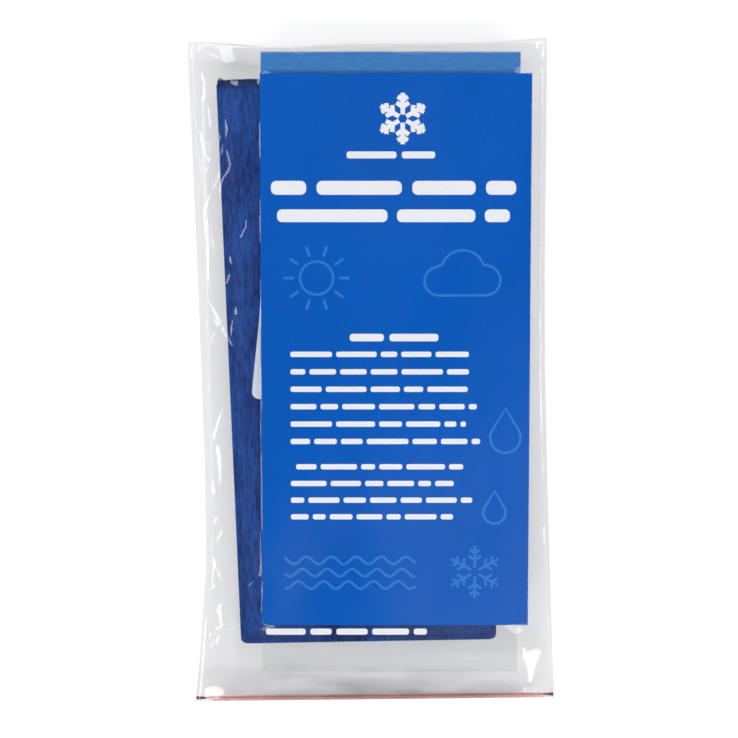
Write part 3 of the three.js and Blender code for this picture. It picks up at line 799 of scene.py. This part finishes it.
ZIP_MIDDLE = 1.15
ZIP_INSET = 3.6
WEB_HALF = 0.85
WEB_MIDDLE = -0.2
WEB_LOW = 0.02
WEB_HIGH = 0.14
CORE_HALF = 0.24
RIB_DEPTH = 0.55
LIP_HALF = 0.13
LIP_OFFSET = 0.48
GROOVE_DEPTH = 0.32
CRUSHED_OUTLINE = [(0.5, -0.55), (2.4, -0.5), (5.2, -0.16), (5.2, 0.16), (2.4, 0.45), (0.5, 0.6), (0.25, 0.0)]
CRUSHED_GAP = 0.01


def zip_path(grid, side):
    """The line of a zip profile on the inner face of a film, between the side welds."""
    path = []
    for x, y, z in grid.transpose(1, 2, 0):
        place = y[0] + ZIP_MIDDLE
        path.append((np.interp(place, y, x), place, np.interp(place, y, z) + side * FILM_THICKNESS / 2))
    path = np.array(path)
    keep = (path[:, 0] > path[0, 0] + ZIP_INSET) & (path[:, 0] < path[-1, 0] - ZIP_INSET)
    return path[keep]


def zip_bar(name, path, towards, half, low, high, middle, material, *replaced):
    """A bar of the zip with a square section, on the inner face of a film."""
    profile = [(middle - half, low), (middle + half, low), (middle + half, high), (middle - half, high)]
    dress(swept_bar(name, path, towards, profile, material), "bag", "zip_plastic", *replaced)


def crushed_end(column, turn):
    """The flattened end of the zip in a side weld: a blunt drop that thins out away from the corner."""
    x, y = front_grid[0, column, :2]
    return [(x + turn * a, y + ZIP_MIDDLE + b) for a, b in CRUSHED_OUTLINE][::turn]


rib_path = zip_path(front_grid, -1)
groove_path = zip_path(back_grid, 1)
zip_bar("zip_rib_web", rib_path, -1, WEB_HALF, WEB_LOW, WEB_HIGH, WEB_MIDDLE, ZIP_WEB, "zip_rib")
zip_bar("zip_rib_core", rib_path, -1, CORE_HALF, WEB_HIGH, RIB_DEPTH, 0, ZIP_CORE)
zip_bar("zip_groove_web", groove_path, 1, WEB_HALF, WEB_LOW, WEB_HIGH, WEB_MIDDLE, ZIP_WEB, "zip_groove")
zip_bar("zip_groove_lip_inner", groove_path, 1, LIP_HALF, WEB_HIGH, GROOVE_DEPTH, LIP_OFFSET, ZIP_WEB)
zip_bar("zip_groove_lip_outer", groove_path, 1, LIP_HALF, WEB_HIGH, GROOVE_DEPTH, -LIP_OFFSET, ZIP_WEB)
zip_ends = prisms("zip_crushed_ends", [crushed_end(0, 1), crushed_end(-1, -1)],
                  corners("bag_back_film")[1][2] + CRUSHED_GAP, corners("bag_front_film")[0][2] - CRUSHED_GAP,
                  ZIP_CRUSHED)
dress(zip_ends, "bag", "zip_plastic")


# Leaflet: a folded sheet, with rows of bars in place of its words and plain drawings of weather

PAPER = 0.15
PAPER_WAVE = 0.035
PRINT_LIFT = 0.03
PRINT_DEPTH = 0.02
PALE_SUNK = (0.005, 0.008)
BRANCH_SUNK = 0.005
SIGN_WIDTH = 1.5
MOTIF_WIDTH = 0.9
SUN_RAYS = 10
WORD_SEED = 4

# Single lines of bars: left, right, middle, height and the longest bar.
HEADLINES = [
    (-9, 22.5, 73.6, 2.3, 3.4),
    (-34, 47, 62.8, 4.6, 4.0),
    (-32, 45, 53.6, 4.2, 4.4),
    (-8, 21.5, 13.2, 2.5, 3.6),
]
# Paragraphs: how many lines, the first one's indent, the range of their right ends, first middle and pitch.
PARAGRAPHS = [
    (6, 0, (29, 37), 7.6, 5.85),
    (4, 1.8, (26, 36), -30.2, 5.65),
]
TEXT_LEFT = -27.8
TEXT_HEIGHT = 1.8
TEXT_LONGEST = 3.6
SHORTEST_WORD = 0.9
WORD_STRETCH = 2.2
WORD_ROUND = 0.38
WORD_GAP = 0.75


def leaflet_grid():
    """The folded sheet: the back page from its free edge, round the fold on the left, and the front page."""
    low, high = corners("leaflet")
    back = low[2] + PAPER / 2
    front = high[2] - PAPER / 2
    radius = (front - back) / 2
    fold = low[0] + PAPER / 2 + radius
    page = np.linspace(high[0], fold, 40)
    section = [(x, back) for x in page]
    section += arc(fold, (front + back) / 2, radius, -90, -270, count=9)[1:-1]
    section += [(x, front) for x in page[::-1]]
    x, y, z = along_y(np.array(section), low[1], high[1], rows=70)
    wave = PAPER_WAVE * smooth_noise(x, y, cell=22, seed=5)
    return np.stack([x, y, z + wave * np.sign(z - z.mean())], axis=2)


def word_line(rng, left, right, middle, height, longest):
    """A line of bars in place of words, with round ends."""
    bars = []
    x = left
    while True:
        width = min(rng.uniform(SHORTEST_WORD, longest) * height * WORD_STRETCH, right - x)
        if width < height:
            return bars
        bars.append(rounded_bar(x, middle - height / 2, width, height, height * WORD_ROUND))
        x += width + height * WORD_GAP


def leaflet_words():
    rng = np.random.default_rng(WORD_SEED)
    bars = []
    for line in HEADLINES:
        bars += word_line(rng, *line)
    for lines, indent, ends, first, pitch in PARAGRAPHS:
        for line in range(lines):
            left = TEXT_LEFT + (0 if line else indent)
            bars += word_line(rng, left, rng.uniform(*ends), first - pitch * line, TEXT_HEIGHT, TEXT_LONGEST)
    return bars


def snowflake(x, y, radius):
    """Six arms, each with two pairs of branches."""
    middle = np.array([x, y])
    paths = []
    for arm in range(6):
        turn = math.radians(30 + 60 * arm)
        way = pointing(turn) * radius
        paths.append(([middle + way * 0.16, middle + way], False, 0))
        for place, length in ((0.45, 0.3), (0.72, 0.24)):
            for side in (-1, 1):
                tip = middle + way * place
                branch = pointing(turn + side * math.radians(55)) * length * radius
                paths.append(([tip, tip + branch], False, BRANCH_SUNK))
    return paths


def sun(x, y, radius):
    paths = [(arc(x, y, radius * 0.5)[:-1], True, 0)]
    for ray in range(SUN_RAYS):
        way = pointing(2 * math.pi * ray / SUN_RAYS) * radius
        paths.append(([np.array([x, y]) + way * 0.68, np.array([x, y]) + way], False, 0))
    return paths


def drop(x, y, height):
    round_part = arc(x, y - height * 0.16, height * 0.34, 150, 390, 20)
    return [(round_part + [(x, y + height * 0.5)], True, 0)]


def waves(x, y, width):
    across = np.linspace(-width / 2, width / 2, 50)
    return [([(x + a, y - 4.2 * line + 1.3 * math.sin(a * 0.75 + line)) for a in across], False, 0)
            for line in range(3)]


def cloud(x, y, width):
    scale = width / 10
    outline = arc(x - 3 * scale, y, 1.9 * scale, 100, 270, 10)
    outline += arc(x + 3.2 * scale, y + 0.1 * scale, 2.0 * scale, -90, 70, 10)
    outline += arc(x + 0.2 * scale, y + 1.2 * scale, 2.9 * scale, 20, 160, 14)
    return [(outline, True, 0)]


# What is drawn, where in x and y, and how large.
SIGN = (9.5, 85.5, 8.4)
MOTIFS = [
    (sun, -19, 33, 11),
    (cloud, 29, 32, 25),
    (drop, 44, -18, 15),
    (drop, 40.5, -44, 11),
    (waves, -8, -62, 44),
    (snowflake, 34, -66, 9),
]

leaflet_sheet = thin_sheet("leaflet_sheet", leaflet_grid(), PAPER, LEAFLET_PAPER, PAPER_EDGE)
dress(leaflet_sheet, "leaflet", "leaflet_paper", "leaflet")
print_low = corners("leaflet")[1][2] + PRINT_LIFT
print_high = print_low + PRINT_DEPTH
motif_paths = [path for draw, *place in MOTIFS for path in draw(*place)]
leaflet_words_piece = prisms("leaflet_word_bars", leaflet_words(), print_low, print_high, LEAFLET_WHITE)
leaflet_sign = strokes("leaflet_snowflake", snowflake(*SIGN), SIGN_WIDTH, print_low, print_high,
                       LEAFLET_WHITE)
leaflet_motifs = strokes("leaflet_motifs", motif_paths, MOTIF_WIDTH, print_low - PALE_SUNK[0],
                         print_high - PALE_SUNK[1], LEAFLET_PALE)
for piece in (leaflet_words_piece, leaflet_sign, leaflet_motifs):
    dress(piece, "leaflet", "leaflet_paper")


# Sleeve

SLEEVE_WALL = 0.09
SLEEVE_WAVE = 0.04
BAND_LIFT = 0.05
BAND_LEFT = -37.2
BAND_LOW = 96.6
BAND_WIDTH = 85.4
BAND_MARGIN = 0.3
SLEEVE_WORDS = (-36.4, 18, -86.6, 2.1, 3.2)
SLEEVE_WORD_SEED = 9

sleeve_low = corners("sleeve_back_film")[0]
sleeve_top = corners("sleeve_front_film")[1]


def sleeve_wall(inset):
    """Points of one face of the sleeve's flattened tube, in rows from its foot to its head."""
    radius = (sleeve_top[2] - sleeve_low[2]) / 2 - inset
    middle = (sleeve_top[2] + sleeve_low[2]) / 2
    left = sleeve_low[0] + radius + inset
    right = sleeve_top[0] - radius - inset
    flat = np.linspace(left, right, 36)
    loop = [(x, middle + radius) for x in flat]
    loop += arc(right, middle, radius, 90, -90, count=7)[1:-1]
    loop += [(x, middle - radius) for x in flat[::-1]]
    loop += arc(left, middle, radius, 270, 90, count=7)[1:-1]
    x, y, z = along_y(np.array(loop), sleeve_low[1], sleeve_top[1], rows=90)
    return np.stack([x, y, z + SLEEVE_WAVE * smooth_noise(x, y, cell=14, seed=8)], axis=2)


sleeve_rings = np.concatenate([sleeve_wall(0.0), sleeve_wall(SLEEVE_WALL)[::-1]])
sleeve = tubes("sleeve_tube", [(sleeve_rings, True)], SLEEVE_FILM)
band_low = sleeve_top[2] + BAND_LIFT
band_shape = rounded_bar(BAND_LEFT, BAND_LOW, BAND_WIDTH, sleeve_top[1] - BAND_LOW - BAND_MARGIN, BAND_MARGIN)
band = prisms("sleeve_band_print", [band_shape], band_low, band_low + PRINT_DEPTH, SLEEVE_BAND)
sleeve_bars = word_line(np.random.default_rng(SLEEVE_WORD_SEED), *SLEEVE_WORDS)
sleeve_words = prisms("sleeve_word_bars", sleeve_bars, band_low, band_low + PRINT_DEPTH, SLEEVE_WHITE)
dress(sleeve, "sleeve", "sleeve_film", "sleeve_front_film", "sleeve_back_film")
dress(band, "sleeve", "sleeve_film")
dress(sleeve_words, "sleeve", "sleeve_film")


# Case: a frame of its own, u across and v from the closed end to the mouth

CASE_ORIGIN = np.array([-1.72, -91.35])
CASE_TURN = math.radians(1)
CASE_MIDDLE = 6.65
CORNER_ROWS = 12
OUTLINE_SHARE = 0.997
OUTLINE_GAP = 0.15
PANEL_DEPTH = 0.7


def from_case(u, v):
    return turned(u, v, CASE_TURN, CASE_ORIGIN)


def case_outline(node, corner):
    """A CAD node's half width as a function of v, with round corners at its closed end, and its lowest and
    highest v."""
    points = np.array([v.co for v in nodes[node].data.vertices])[:, :2] / MM - CASE_ORIGIN
    u, v = turned(points[:, 0], points[:, 1], -CASE_TURN, (0, 0))
    first = v.min()
    rows = [row for row in rows_of(v) if v[row].mean() > first + CORNER_ROWS]
    slope, start = np.polyfit([v[row].mean() for row in rows], [np.abs(u[row]).max() for row in rows], 1)

    def half_width(at):
        short = np.clip(corner - (at - first), 0, corner)
        return start + slope * at - corner + np.sqrt(corner ** 2 - short ** 2)

    return half_width, first, v.max()


def case_grid(node, corner, columns, rows):
    """Places over a panel of the case, closer together along its edges."""
    half, first, last = case_outline(node, corner)
    across = np.sin(np.linspace(-1, 1, columns) * np.pi / 2)[None, :]
    share = np.linspace(0, 1, rows)[:, None]
    v = first + (last - first) * (0.4 * share + 0.6 * share ** 2) + 0 * across
    return across * half(v), v


def panel_heights(node, u, v, upward):
    """Heights of a panel's face, taken just inside its outline."""
    x, y = from_case(u * OUTLINE_SHARE, np.clip(v, v.min() + OUTLINE_GAP, v.max() - OUTLINE_GAP))
    low, high = corners(node)
    return heights([node], x, y, high[2] - PANEL_DEPTH if upward else low[2] + PANEL_DEPTH, upward)


def case_shell(name, u, v, outer, inner, side, material):
    """A closed piece between its outer and inner heights, with its upper and lower grid."""
    x, y = from_case(u, v)
    upper, lower = [np.stack([x, y, level], axis=2) for level in (outer, inner)[::side]]
    return grid_shell(name, upper, lower, material), upper, lower


COVER_THICKNESS = 0.62
COVER_CORNER = 2.0
COVER_GAP = 0.02
PUCKER = 0.08
PUCKER_LONG = 0.06
PUCKER_FADE = 3


def cover_panel(name, node, side):
    """One cloth panel of the cover, puckered a little. Side is 1 for the front, -1 for the back."""
    u, v = case_grid(node, COVER_CORNER, columns=90, rows=150)
    outer = blur(panel_heights(node, u, v, side < 0), rounds=5)
    pucker = PUCKER + PUCKER * smooth_noise(u * 2.5, v, cell=7, seed=12)
    pucker = pucker + PUCKER_LONG * smooth_noise(u, v * 0.5, cell=16, seed=13)
    outer = outer - side * pucker * np.clip(np.abs(outer - CASE_MIDDLE) / PUCKER_FADE, 0, 1)
    inner = outer - side * COVER_THICKNESS
    limit = CASE_MIDDLE + side * COVER_GAP
    inner = np.maximum(inner, limit) if side > 0 else np.minimum(inner, limit)
    panel, upper, lower = case_shell(name, u, v, outer, inner, side, COVER_CLOTH)
    return dress(panel, "cover", "cover_fabric", node), upper, lower


def on_panel(grid, u_share, row):
    """A point of a panel's grid at a share of its width, from -1 to 1."""
    columns = grid.shape[1]
    place = (math.asin(np.clip(u_share, -1, 1)) / (np.pi / 2) + 1) / 2 * (columns - 1)
    low = int(np.clip(math.floor(place), 0, columns - 2))
    share = place - low
    return grid[row, low] * (1 - share) + grid[row, low + 1] * share


SEAM_INSET = 1.5
SEAM_LIFT = 0.06
SEAM_ROW = 3
SEAM_COLUMNS = 6
COVER_STITCH = (2.3, 0.9, 0.17)


def seam_paths(grid, side):
    """Lines inside the two sides and the closed end of a panel, a little off its face."""
    lines = []
    for sign in (-1, 1):
        line = []
        for row in range(SEAM_ROW + 1, len(grid)):
            half = np.linalg.norm(grid[row, -1] - grid[row, 0]) / 2
            line.append(on_panel(grid, sign * (1 - SEAM_INSET / half), row))
        lines.append(np.array(line))
    lines.append(grid[SEAM_ROW, SEAM_COLUMNS:-SEAM_COLUMNS])
    return [line + np.array([0, 0, side * SEAM_LIFT]) for line in lines]


cover_front, front_upper, front_lower = cover_panel("cover_front", "cover_front_panel", 1)
cover_back, back_upper, back_lower = cover_panel("cover_back", "cover_back_panel", -1)
cover_stitches = stitches("cover_seam_stitches", seam_paths(front_upper, 1), *COVER_STITCH, COVER_THREAD)
back_stitches = stitches("cover_back_stitches", seam_paths(back_lower, -1), *COVER_STITCH, COVER_THREAD, -1)
dress(cover_stitches, "cover", "sewing_thread")
dress(back_stitches, "cover", "sewing_thread")


# Mouth edging: overlocked thread round the cut edge of each panel

EDGING_PITCH = 0.75
EDGING_DEPTH = 1.5
EDGING_RADIUS = 0.2
EDGING_SLIP = 0.08
EDGING_SEEDS = (21, 22)
# One turn of the thread: how deep it reaches, which face it is on, and how far off that face.
EDGING_LOOP = [
    (1, 1, 0.12), (0.4, 1, 0.2), (-0.85, 0, 0.0), (0.4, -1, -0.15),
    (1, -1, -0.08), (0.4, -1, -0.15), (-0.85, 0, 0.0), (0.4, 1, 0.2),
]
# Loops that stand out at the mouth's left end: their place from it, width, height and lean.
LOOSE_LOOPS = [
    ((0.9, 0.1, 0.5), 0.55, 1.9, 0.2),
    ((2.2, 0.0, 0.8), 0.6, 1.6, -0.15),
    ((3.6, 0.0, 1.2), 0.4, 1.0, 0.2),
]


def edging_path(upper, lower, seed):
    """Thread that goes over the mouth's edge again and again, from face to face."""
    count = int(np.linalg.norm(upper[-1, -1] - upper[-1, 0]) / EDGING_PITCH)
    rng = np.random.default_rng(seed)
    inward = np.array([math.sin(CASE_TURN), -math.cos(CASE_TURN), 0])
    path = []
    for loop in range(count):
        for part, (deep, face, off) in enumerate(EDGING_LOOP):
            share = -1 + 2 * (loop + 0.5 + part / len(EDGING_LOOP)) / (count + 1)
            base = ((1 + face) * on_panel(upper, share, -1) + (1 - face) * on_panel(lower, share, -1)) / 2
            slip = rng.normal(0, EDGING_SLIP)
            path.append(base + inward * (deep * EDGING_DEPTH + slip) + np.array([0, 0, off]))
    return path


def loose_loop(place, width, height, lean):
    """A loop of thread that stands out of the edging."""
    middle = front_upper[-1, 0] + np.array(place)
    turns = np.linspace(-0.35 * math.pi, 1.35 * math.pi, 16)
    return [middle + np.array([width * math.cos(t) + lean * (1 + math.sin(t)),
                               height * (1 + math.sin(t)) / 2, 0.15 * math.sin(2 * t)]) for t in turns]


front_paths = [edging_path(front_upper, front_lower, EDGING_SEEDS[0])]
front_paths += [loose_loop(*loop) for loop in LOOSE_LOOPS]
back_paths = [edging_path(back_upper, back_lower, EDGING_SEEDS[1])]
edging_front = threads("mouth_edging_threads_front", front_paths, EDGING_RADIUS, COVER_THREAD)
edging_back = threads("mouth_edging_threads_back", back_paths, EDGING_RADIUS, COVER_THREAD)
dress(edging_front, "cover", "sewing_thread", "mouth_edging_front")
dress(edging_back, "cover", "sewing_thread", "mouth_edging_back")


# Label

LABEL_SIZE = np.array([42, 50])
LABEL_RADIUS = 2.4
LABEL_TURN = math.radians(-6)
LABEL_SUNK = 0.04
LABEL_SEAM = 1.5
LABEL_SEAM_RADIUS = 1.2
LABEL_SEAM_SUNK = 0.02
LABEL_STITCH = (1.9, 0.7, 0.12)

label_low, label_high = corners("front_label")
label_middle = (label_low + label_high)[:2] / 2
label_shape = turned_bar(LABEL_SIZE, LABEL_RADIUS, LABEL_TURN, label_middle, 8)
label = prisms("label_patch", [label_shape], label_low[2], label_high[2] - LABEL_SUNK, LABEL_CLOTH)
border = turned_bar(LABEL_SIZE - 2 * LABEL_SEAM, LABEL_SEAM_RADIUS, LABEL_TURN, label_middle, 6)
border_path = [(x, y, label_high[2] - LABEL_SEAM_SUNK) for x, y in border + border[:1]]
label_stitches = stitches("label_stitches", [border_path], *LABEL_STITCH, LINER_THREAD)
dress(label, "cover", "label_cloth", "front_label")
dress(label_stitches, "cover", "label_cloth")


# Hook and loop strips inside the mouth

HOOK_PITCH = 1.1
HOOK_REACH = 0.22
HOOK_RISE = 0.2
HOOK_RADIUS = 0.05
HOOK_END = 150
LOOP_END = 185
PILE_DEPTH = 0.22
STRIP_SIZE = (50, 16)
STRIP_MARGIN = 0.8


def strip(name, node, facing):
    """A woven tape with rows of small hooks or loops on the side that faces the other strip."""
    low, high = corners(node)
    middle = (low + high)[:2] / 2
    levels = (low[2] + PILE_DEPTH, high[2]) if facing < 0 else (low[2], high[2] - PILE_DEPTH)
    tape = prisms(name, [turned_bar(STRIP_SIZE, STRIP_MARGIN, CASE_TURN, middle)], *levels, CLOSURE_TAPE)
    root = levels[0] if facing < 0 else levels[1]
    bends = np.radians([-5, 45, 90, 135, LOOP_END if facing > 0 else HOOK_END])
    half_u, half_v = [side / 2 - STRIP_MARGIN for side in STRIP_SIZE]
    paths = []
    for b in np.arange(-half_v, half_v, HOOK_PITCH):
        for a in np.arange(-half_u, half_u, HOOK_PITCH):
            paths.append([(*turned(a + HOOK_REACH * math.cos(t), b, CASE_TURN, middle),
                           root + facing * HOOK_RISE * math.sin(t)) for t in bends])
    pile = threads(name + "_pile", paths, HOOK_RADIUS, CLOSURE_TAPE)
    dress(tape, "cover", "closure_tape", node)
    dress(pile, "cover", "closure_tape")


strip("hook_tape", "hook_strip", -1)
strip("loop_tape", "loop_strip", 1)


# Inner pouch: two quilted walls with crystals in their channels, bound along three edges

BINDING_CORNER = 4.0
SEWN_LINES = (-20.7, -6.9, 6.9, 20.7)
SEWN_DIP = 0.5
SEWN_WIDTH = 1.3
SEWN_LIFT = 0.05
CRUMPLE = 0.06
FLAT_DEPTH = 0.5
THINNEST = 0.3
HOLLOW_REACH = 8
HOLLOW_MARGIN = 12
HOLLOW_DEPTH = 0.15
QUILT_STITCH = (2.2, 0.8, 0.16)


def quilt_wall(name, outer_node, inner_node, side):
    """A padded wall from the outer face of one liner to the inner face of the other."""
    u, v = case_grid(outer_node, BINDING_CORNER, columns=160, rows=140)
    low, high = corners(inner_node)
    inner_level = low[2] if side > 0 else high[2]
    outer = blur(panel_heights(outer_node, u, v, side < 0), rounds=5)
    dip = sum(np.exp(-((u - line) / SEWN_WIDTH) ** 2) for line in SEWN_LINES)
    outer = outer - side * SEWN_DIP * dip * np.clip(np.abs(outer - inner_level) - FLAT_DEPTH, 0, 1)
    inner = blur(panel_heights(inner_node, u, v, side > 0), rounds=4)
    crumple = CRUMPLE * smooth_noise(u * 0.6, v, cell=5, seed=31 + side)
    outer = outer + side * crumple * np.clip(np.abs(outer - inner) - FLAT_DEPTH, 0, 1)
    depth = np.where(side * (outer - inner) < THINNEST, side * THINNEST, outer - inner)
    wall, upper, lower = case_shell(name, u, v, inner + depth, inner, side, LINER_CLOTH)
    dress(wall, "inner_pouch", "liner_fabric", outer_node, inner_node)
    return upper if side > 0 else lower


def channel_lines(grid, side):
    """The sewn lines between a wall's channels: the hollows of its middle row, followed along the wall."""
    row = side * grid[len(grid) // 2, :, 2]
    lines = []
    for column in range(HOLLOW_MARGIN, len(row) - HOLLOW_MARGIN):
        near = row[column - HOLLOW_REACH:column + HOLLOW_REACH + 1]
        if row[column] == near.min() and row[column] < near.max() - HOLLOW_DEPTH:
            lines.append(grid[14:-2, column] + np.array([0, 0, side * SEWN_LIFT]))
    return lines


quilt_front = quilt_wall("quilt_front", "liner_front_outer", "liner_front_inner", 1)
quilt_back = quilt_wall("quilt_back", "liner_back_outer", "liner_back_inner", -1)
for name, grid, side in (("quilt_stitches_front", quilt_front, 1), ("quilt_stitches_back", quilt_back, -1)):
    sewn = stitches(name, channel_lines(grid, side), *QUILT_STITCH, LINER_THREAD, side)
    dress(sewn, "inner_pouch", "liner_fabric")

for name, node in nodes.items():
    if name.startswith("crystal_fill"):
        node.data.materials.clear()
        node.data.materials.append(CRYSTALS)

# The tape's section at the pouch's edge: out of the pouch, and up from the case's middle.
BINDING_SECTION = [
    (-3.9, 1.3), (-2.0, 1.32), (-0.5, 1.28), (0.1, 1.0), (0.32, 0.4),
    (0.32, -0.4), (0.1, -1.0), (-0.5, -1.28), (-2.0, -1.32), (-3.9, -1.3),
]
BINDING_THICKNESS = 0.25
BINDING_LIFT = np.array([0, 0, 0.15])
BINDING_STITCH = (2.2, 0.8, 0.15)


def binding_path():
    """The pouch's edge from its mouth round the closed end, with the way out of the pouch at each point."""
    half, first, last = case_outline("liner_front_outer", BINDING_CORNER)
    corner_v = first + BINDING_CORNER
    corner_u = half(corner_v) - BINDING_CORNER
    left = [(-half(v), v) for v in np.linspace(last, corner_v, 60)]
    path = left + arc(-corner_u, corner_v, BINDING_CORNER, 180, 270, 10)[1:]
    path += [(u, first) for u in np.linspace(-corner_u, corner_u, 40)[1:-1]]
    path += arc(corner_u, corner_v, BINDING_CORNER, 270, 360, 10)
    path += [(-u, v) for u, v in left[::-1][1:]]
    path = np.array(path)
    return path, -to_left(unit(np.gradient(path, axis=0)))


def binding_grid():
    path, out = binding_path()
    columns = []
    for a, b in BINDING_SECTION:
        x, y = from_case(*(path + out * a).T)
        columns.append(np.stack([x, y, np.full(len(x), CASE_MIDDLE + b)], axis=1))
    return np.stack(columns, axis=1)


binding_points = binding_grid()
binding = thin_sheet("binding", binding_points, BINDING_THICKNESS, BINDING_TAPE)
binding_lines = [binding_points[:, 1] + BINDING_LIFT, binding_points[:, -2] - BINDING_LIFT]
binding_stitches = stitches("binding_stitches", binding_lines, *BINDING_STITCH, LINER_THREAD)
dress(binding, "inner_pouch", "binding_tape", "edge_binding")
dress(binding_stitches, "inner_pouch", "binding_tape")


# Floor, light and view

FLOOR_HALF = 3000
FLOOR_GAP = 0.1
FLOOR_COLOUR = (0.62, 0.62, 0.62, 1)
FLOOR_FADE = (0.3, 1.2)
WHITE_SHARE = 0.5
SKY_COLOUR = (0.9, 0.95, 1, 1)
SKY_STRENGTH = 0.06
HORIZON = (0.15, 0.4)
LIGHT_DISTANCE = 1.3
# Each lamp's direction and elevation in degrees, width and height in metres, and power.
LIGHTS = {
    "left_light": (180, 28, 0.8, 0.3, 6.0),
    "right_light": (0, 28, 0.8, 0.26, 5.0),
    "far_light": (86, 47, 1.4, 0.4, 9.4),
    "near_light": (-90, 44, 1.6, 0.55, 15.0),
}


def make_floor():
    """A pale floor that keeps the object's shadow, and goes over to white further out."""
    shader = material_shader("floor")
    grain = shader.colours(shader.noise(30), darker(FLOOR_COLOUR, 0.97), FLOOR_COLOUR)
    plain = shader.add("ShaderNodeBsdfDiffuse", {"Color": grain})[0]
    away = shader.add("ShaderNodeVectorMath", {0: shader.where()}, operation="LENGTH")["Value"]
    white = shader.math("MULTIPLY", shader.seen(), shader.ramp(away, *FLOOR_FADE, WHITE_SHARE, 1.0))
    glow = shader.add("ShaderNodeEmission", {"Color": WHITE, "Strength": white})[0]
    both = shader.add("ShaderNodeAddShader", {0: plain, 1: glow})[0]
    points = [(x * FLOOR_HALF, y * FLOOR_HALF, -FLOOR_GAP) for x, y in ((-1, -1), (1, -1), (1, 1), (-1, 1))]
    add_mesh("floor", points, [[0, 1, 2, 3]], shader.finish(both), smooth=False)


def make_world():
    """A dim sky that is white down at the horizon for what is seen directly, in a mirror or through glass."""
    scene.world = bpy.data.worlds.new("world")
    shader = Shader(scene.world)
    low = shader.ramp(shader.axes("Generated")[2], *HORIZON, 1.0, SKY_STRENGTH)
    strength = shader.add("ShaderNodeMix", {0: shader.seen(), 2: SKY_STRENGTH, 3: low})[0]
    sky = shader.add("ShaderNodeBackground", {"Color": SKY_COLOUR, "Strength": strength})[0]
    shader.finish(sky, "ShaderNodeOutputWorld")


def soft_light(name, direction, elevation, width, height, power):
    data = bpy.data.lights.new(name, "AREA")
    data.shape = "RECTANGLE"
    data.size = width
    data.size_y = height
    data.energy = power
    light = add_object(name, data)
    turn = math.radians(direction)
    rise = math.radians(elevation)
    place = Vector((math.cos(turn) * math.cos(rise), math.sin(turn) * math.cos(rise), math.sin(rise)))
    light.location = place * LIGHT_DISTANCE
    light.rotation_euler = (-place).to_track_quat("-Z", "Y").to_euler()


make_floor()
make_world()
for name, values in LIGHTS.items():
    soft_light(name, *values)

scene.view_settings.view_transform = "Standard"
scene.cycles.transparent_max_bounces = 32


# Bring the scene up to date

bpy.context.view_layer.update()
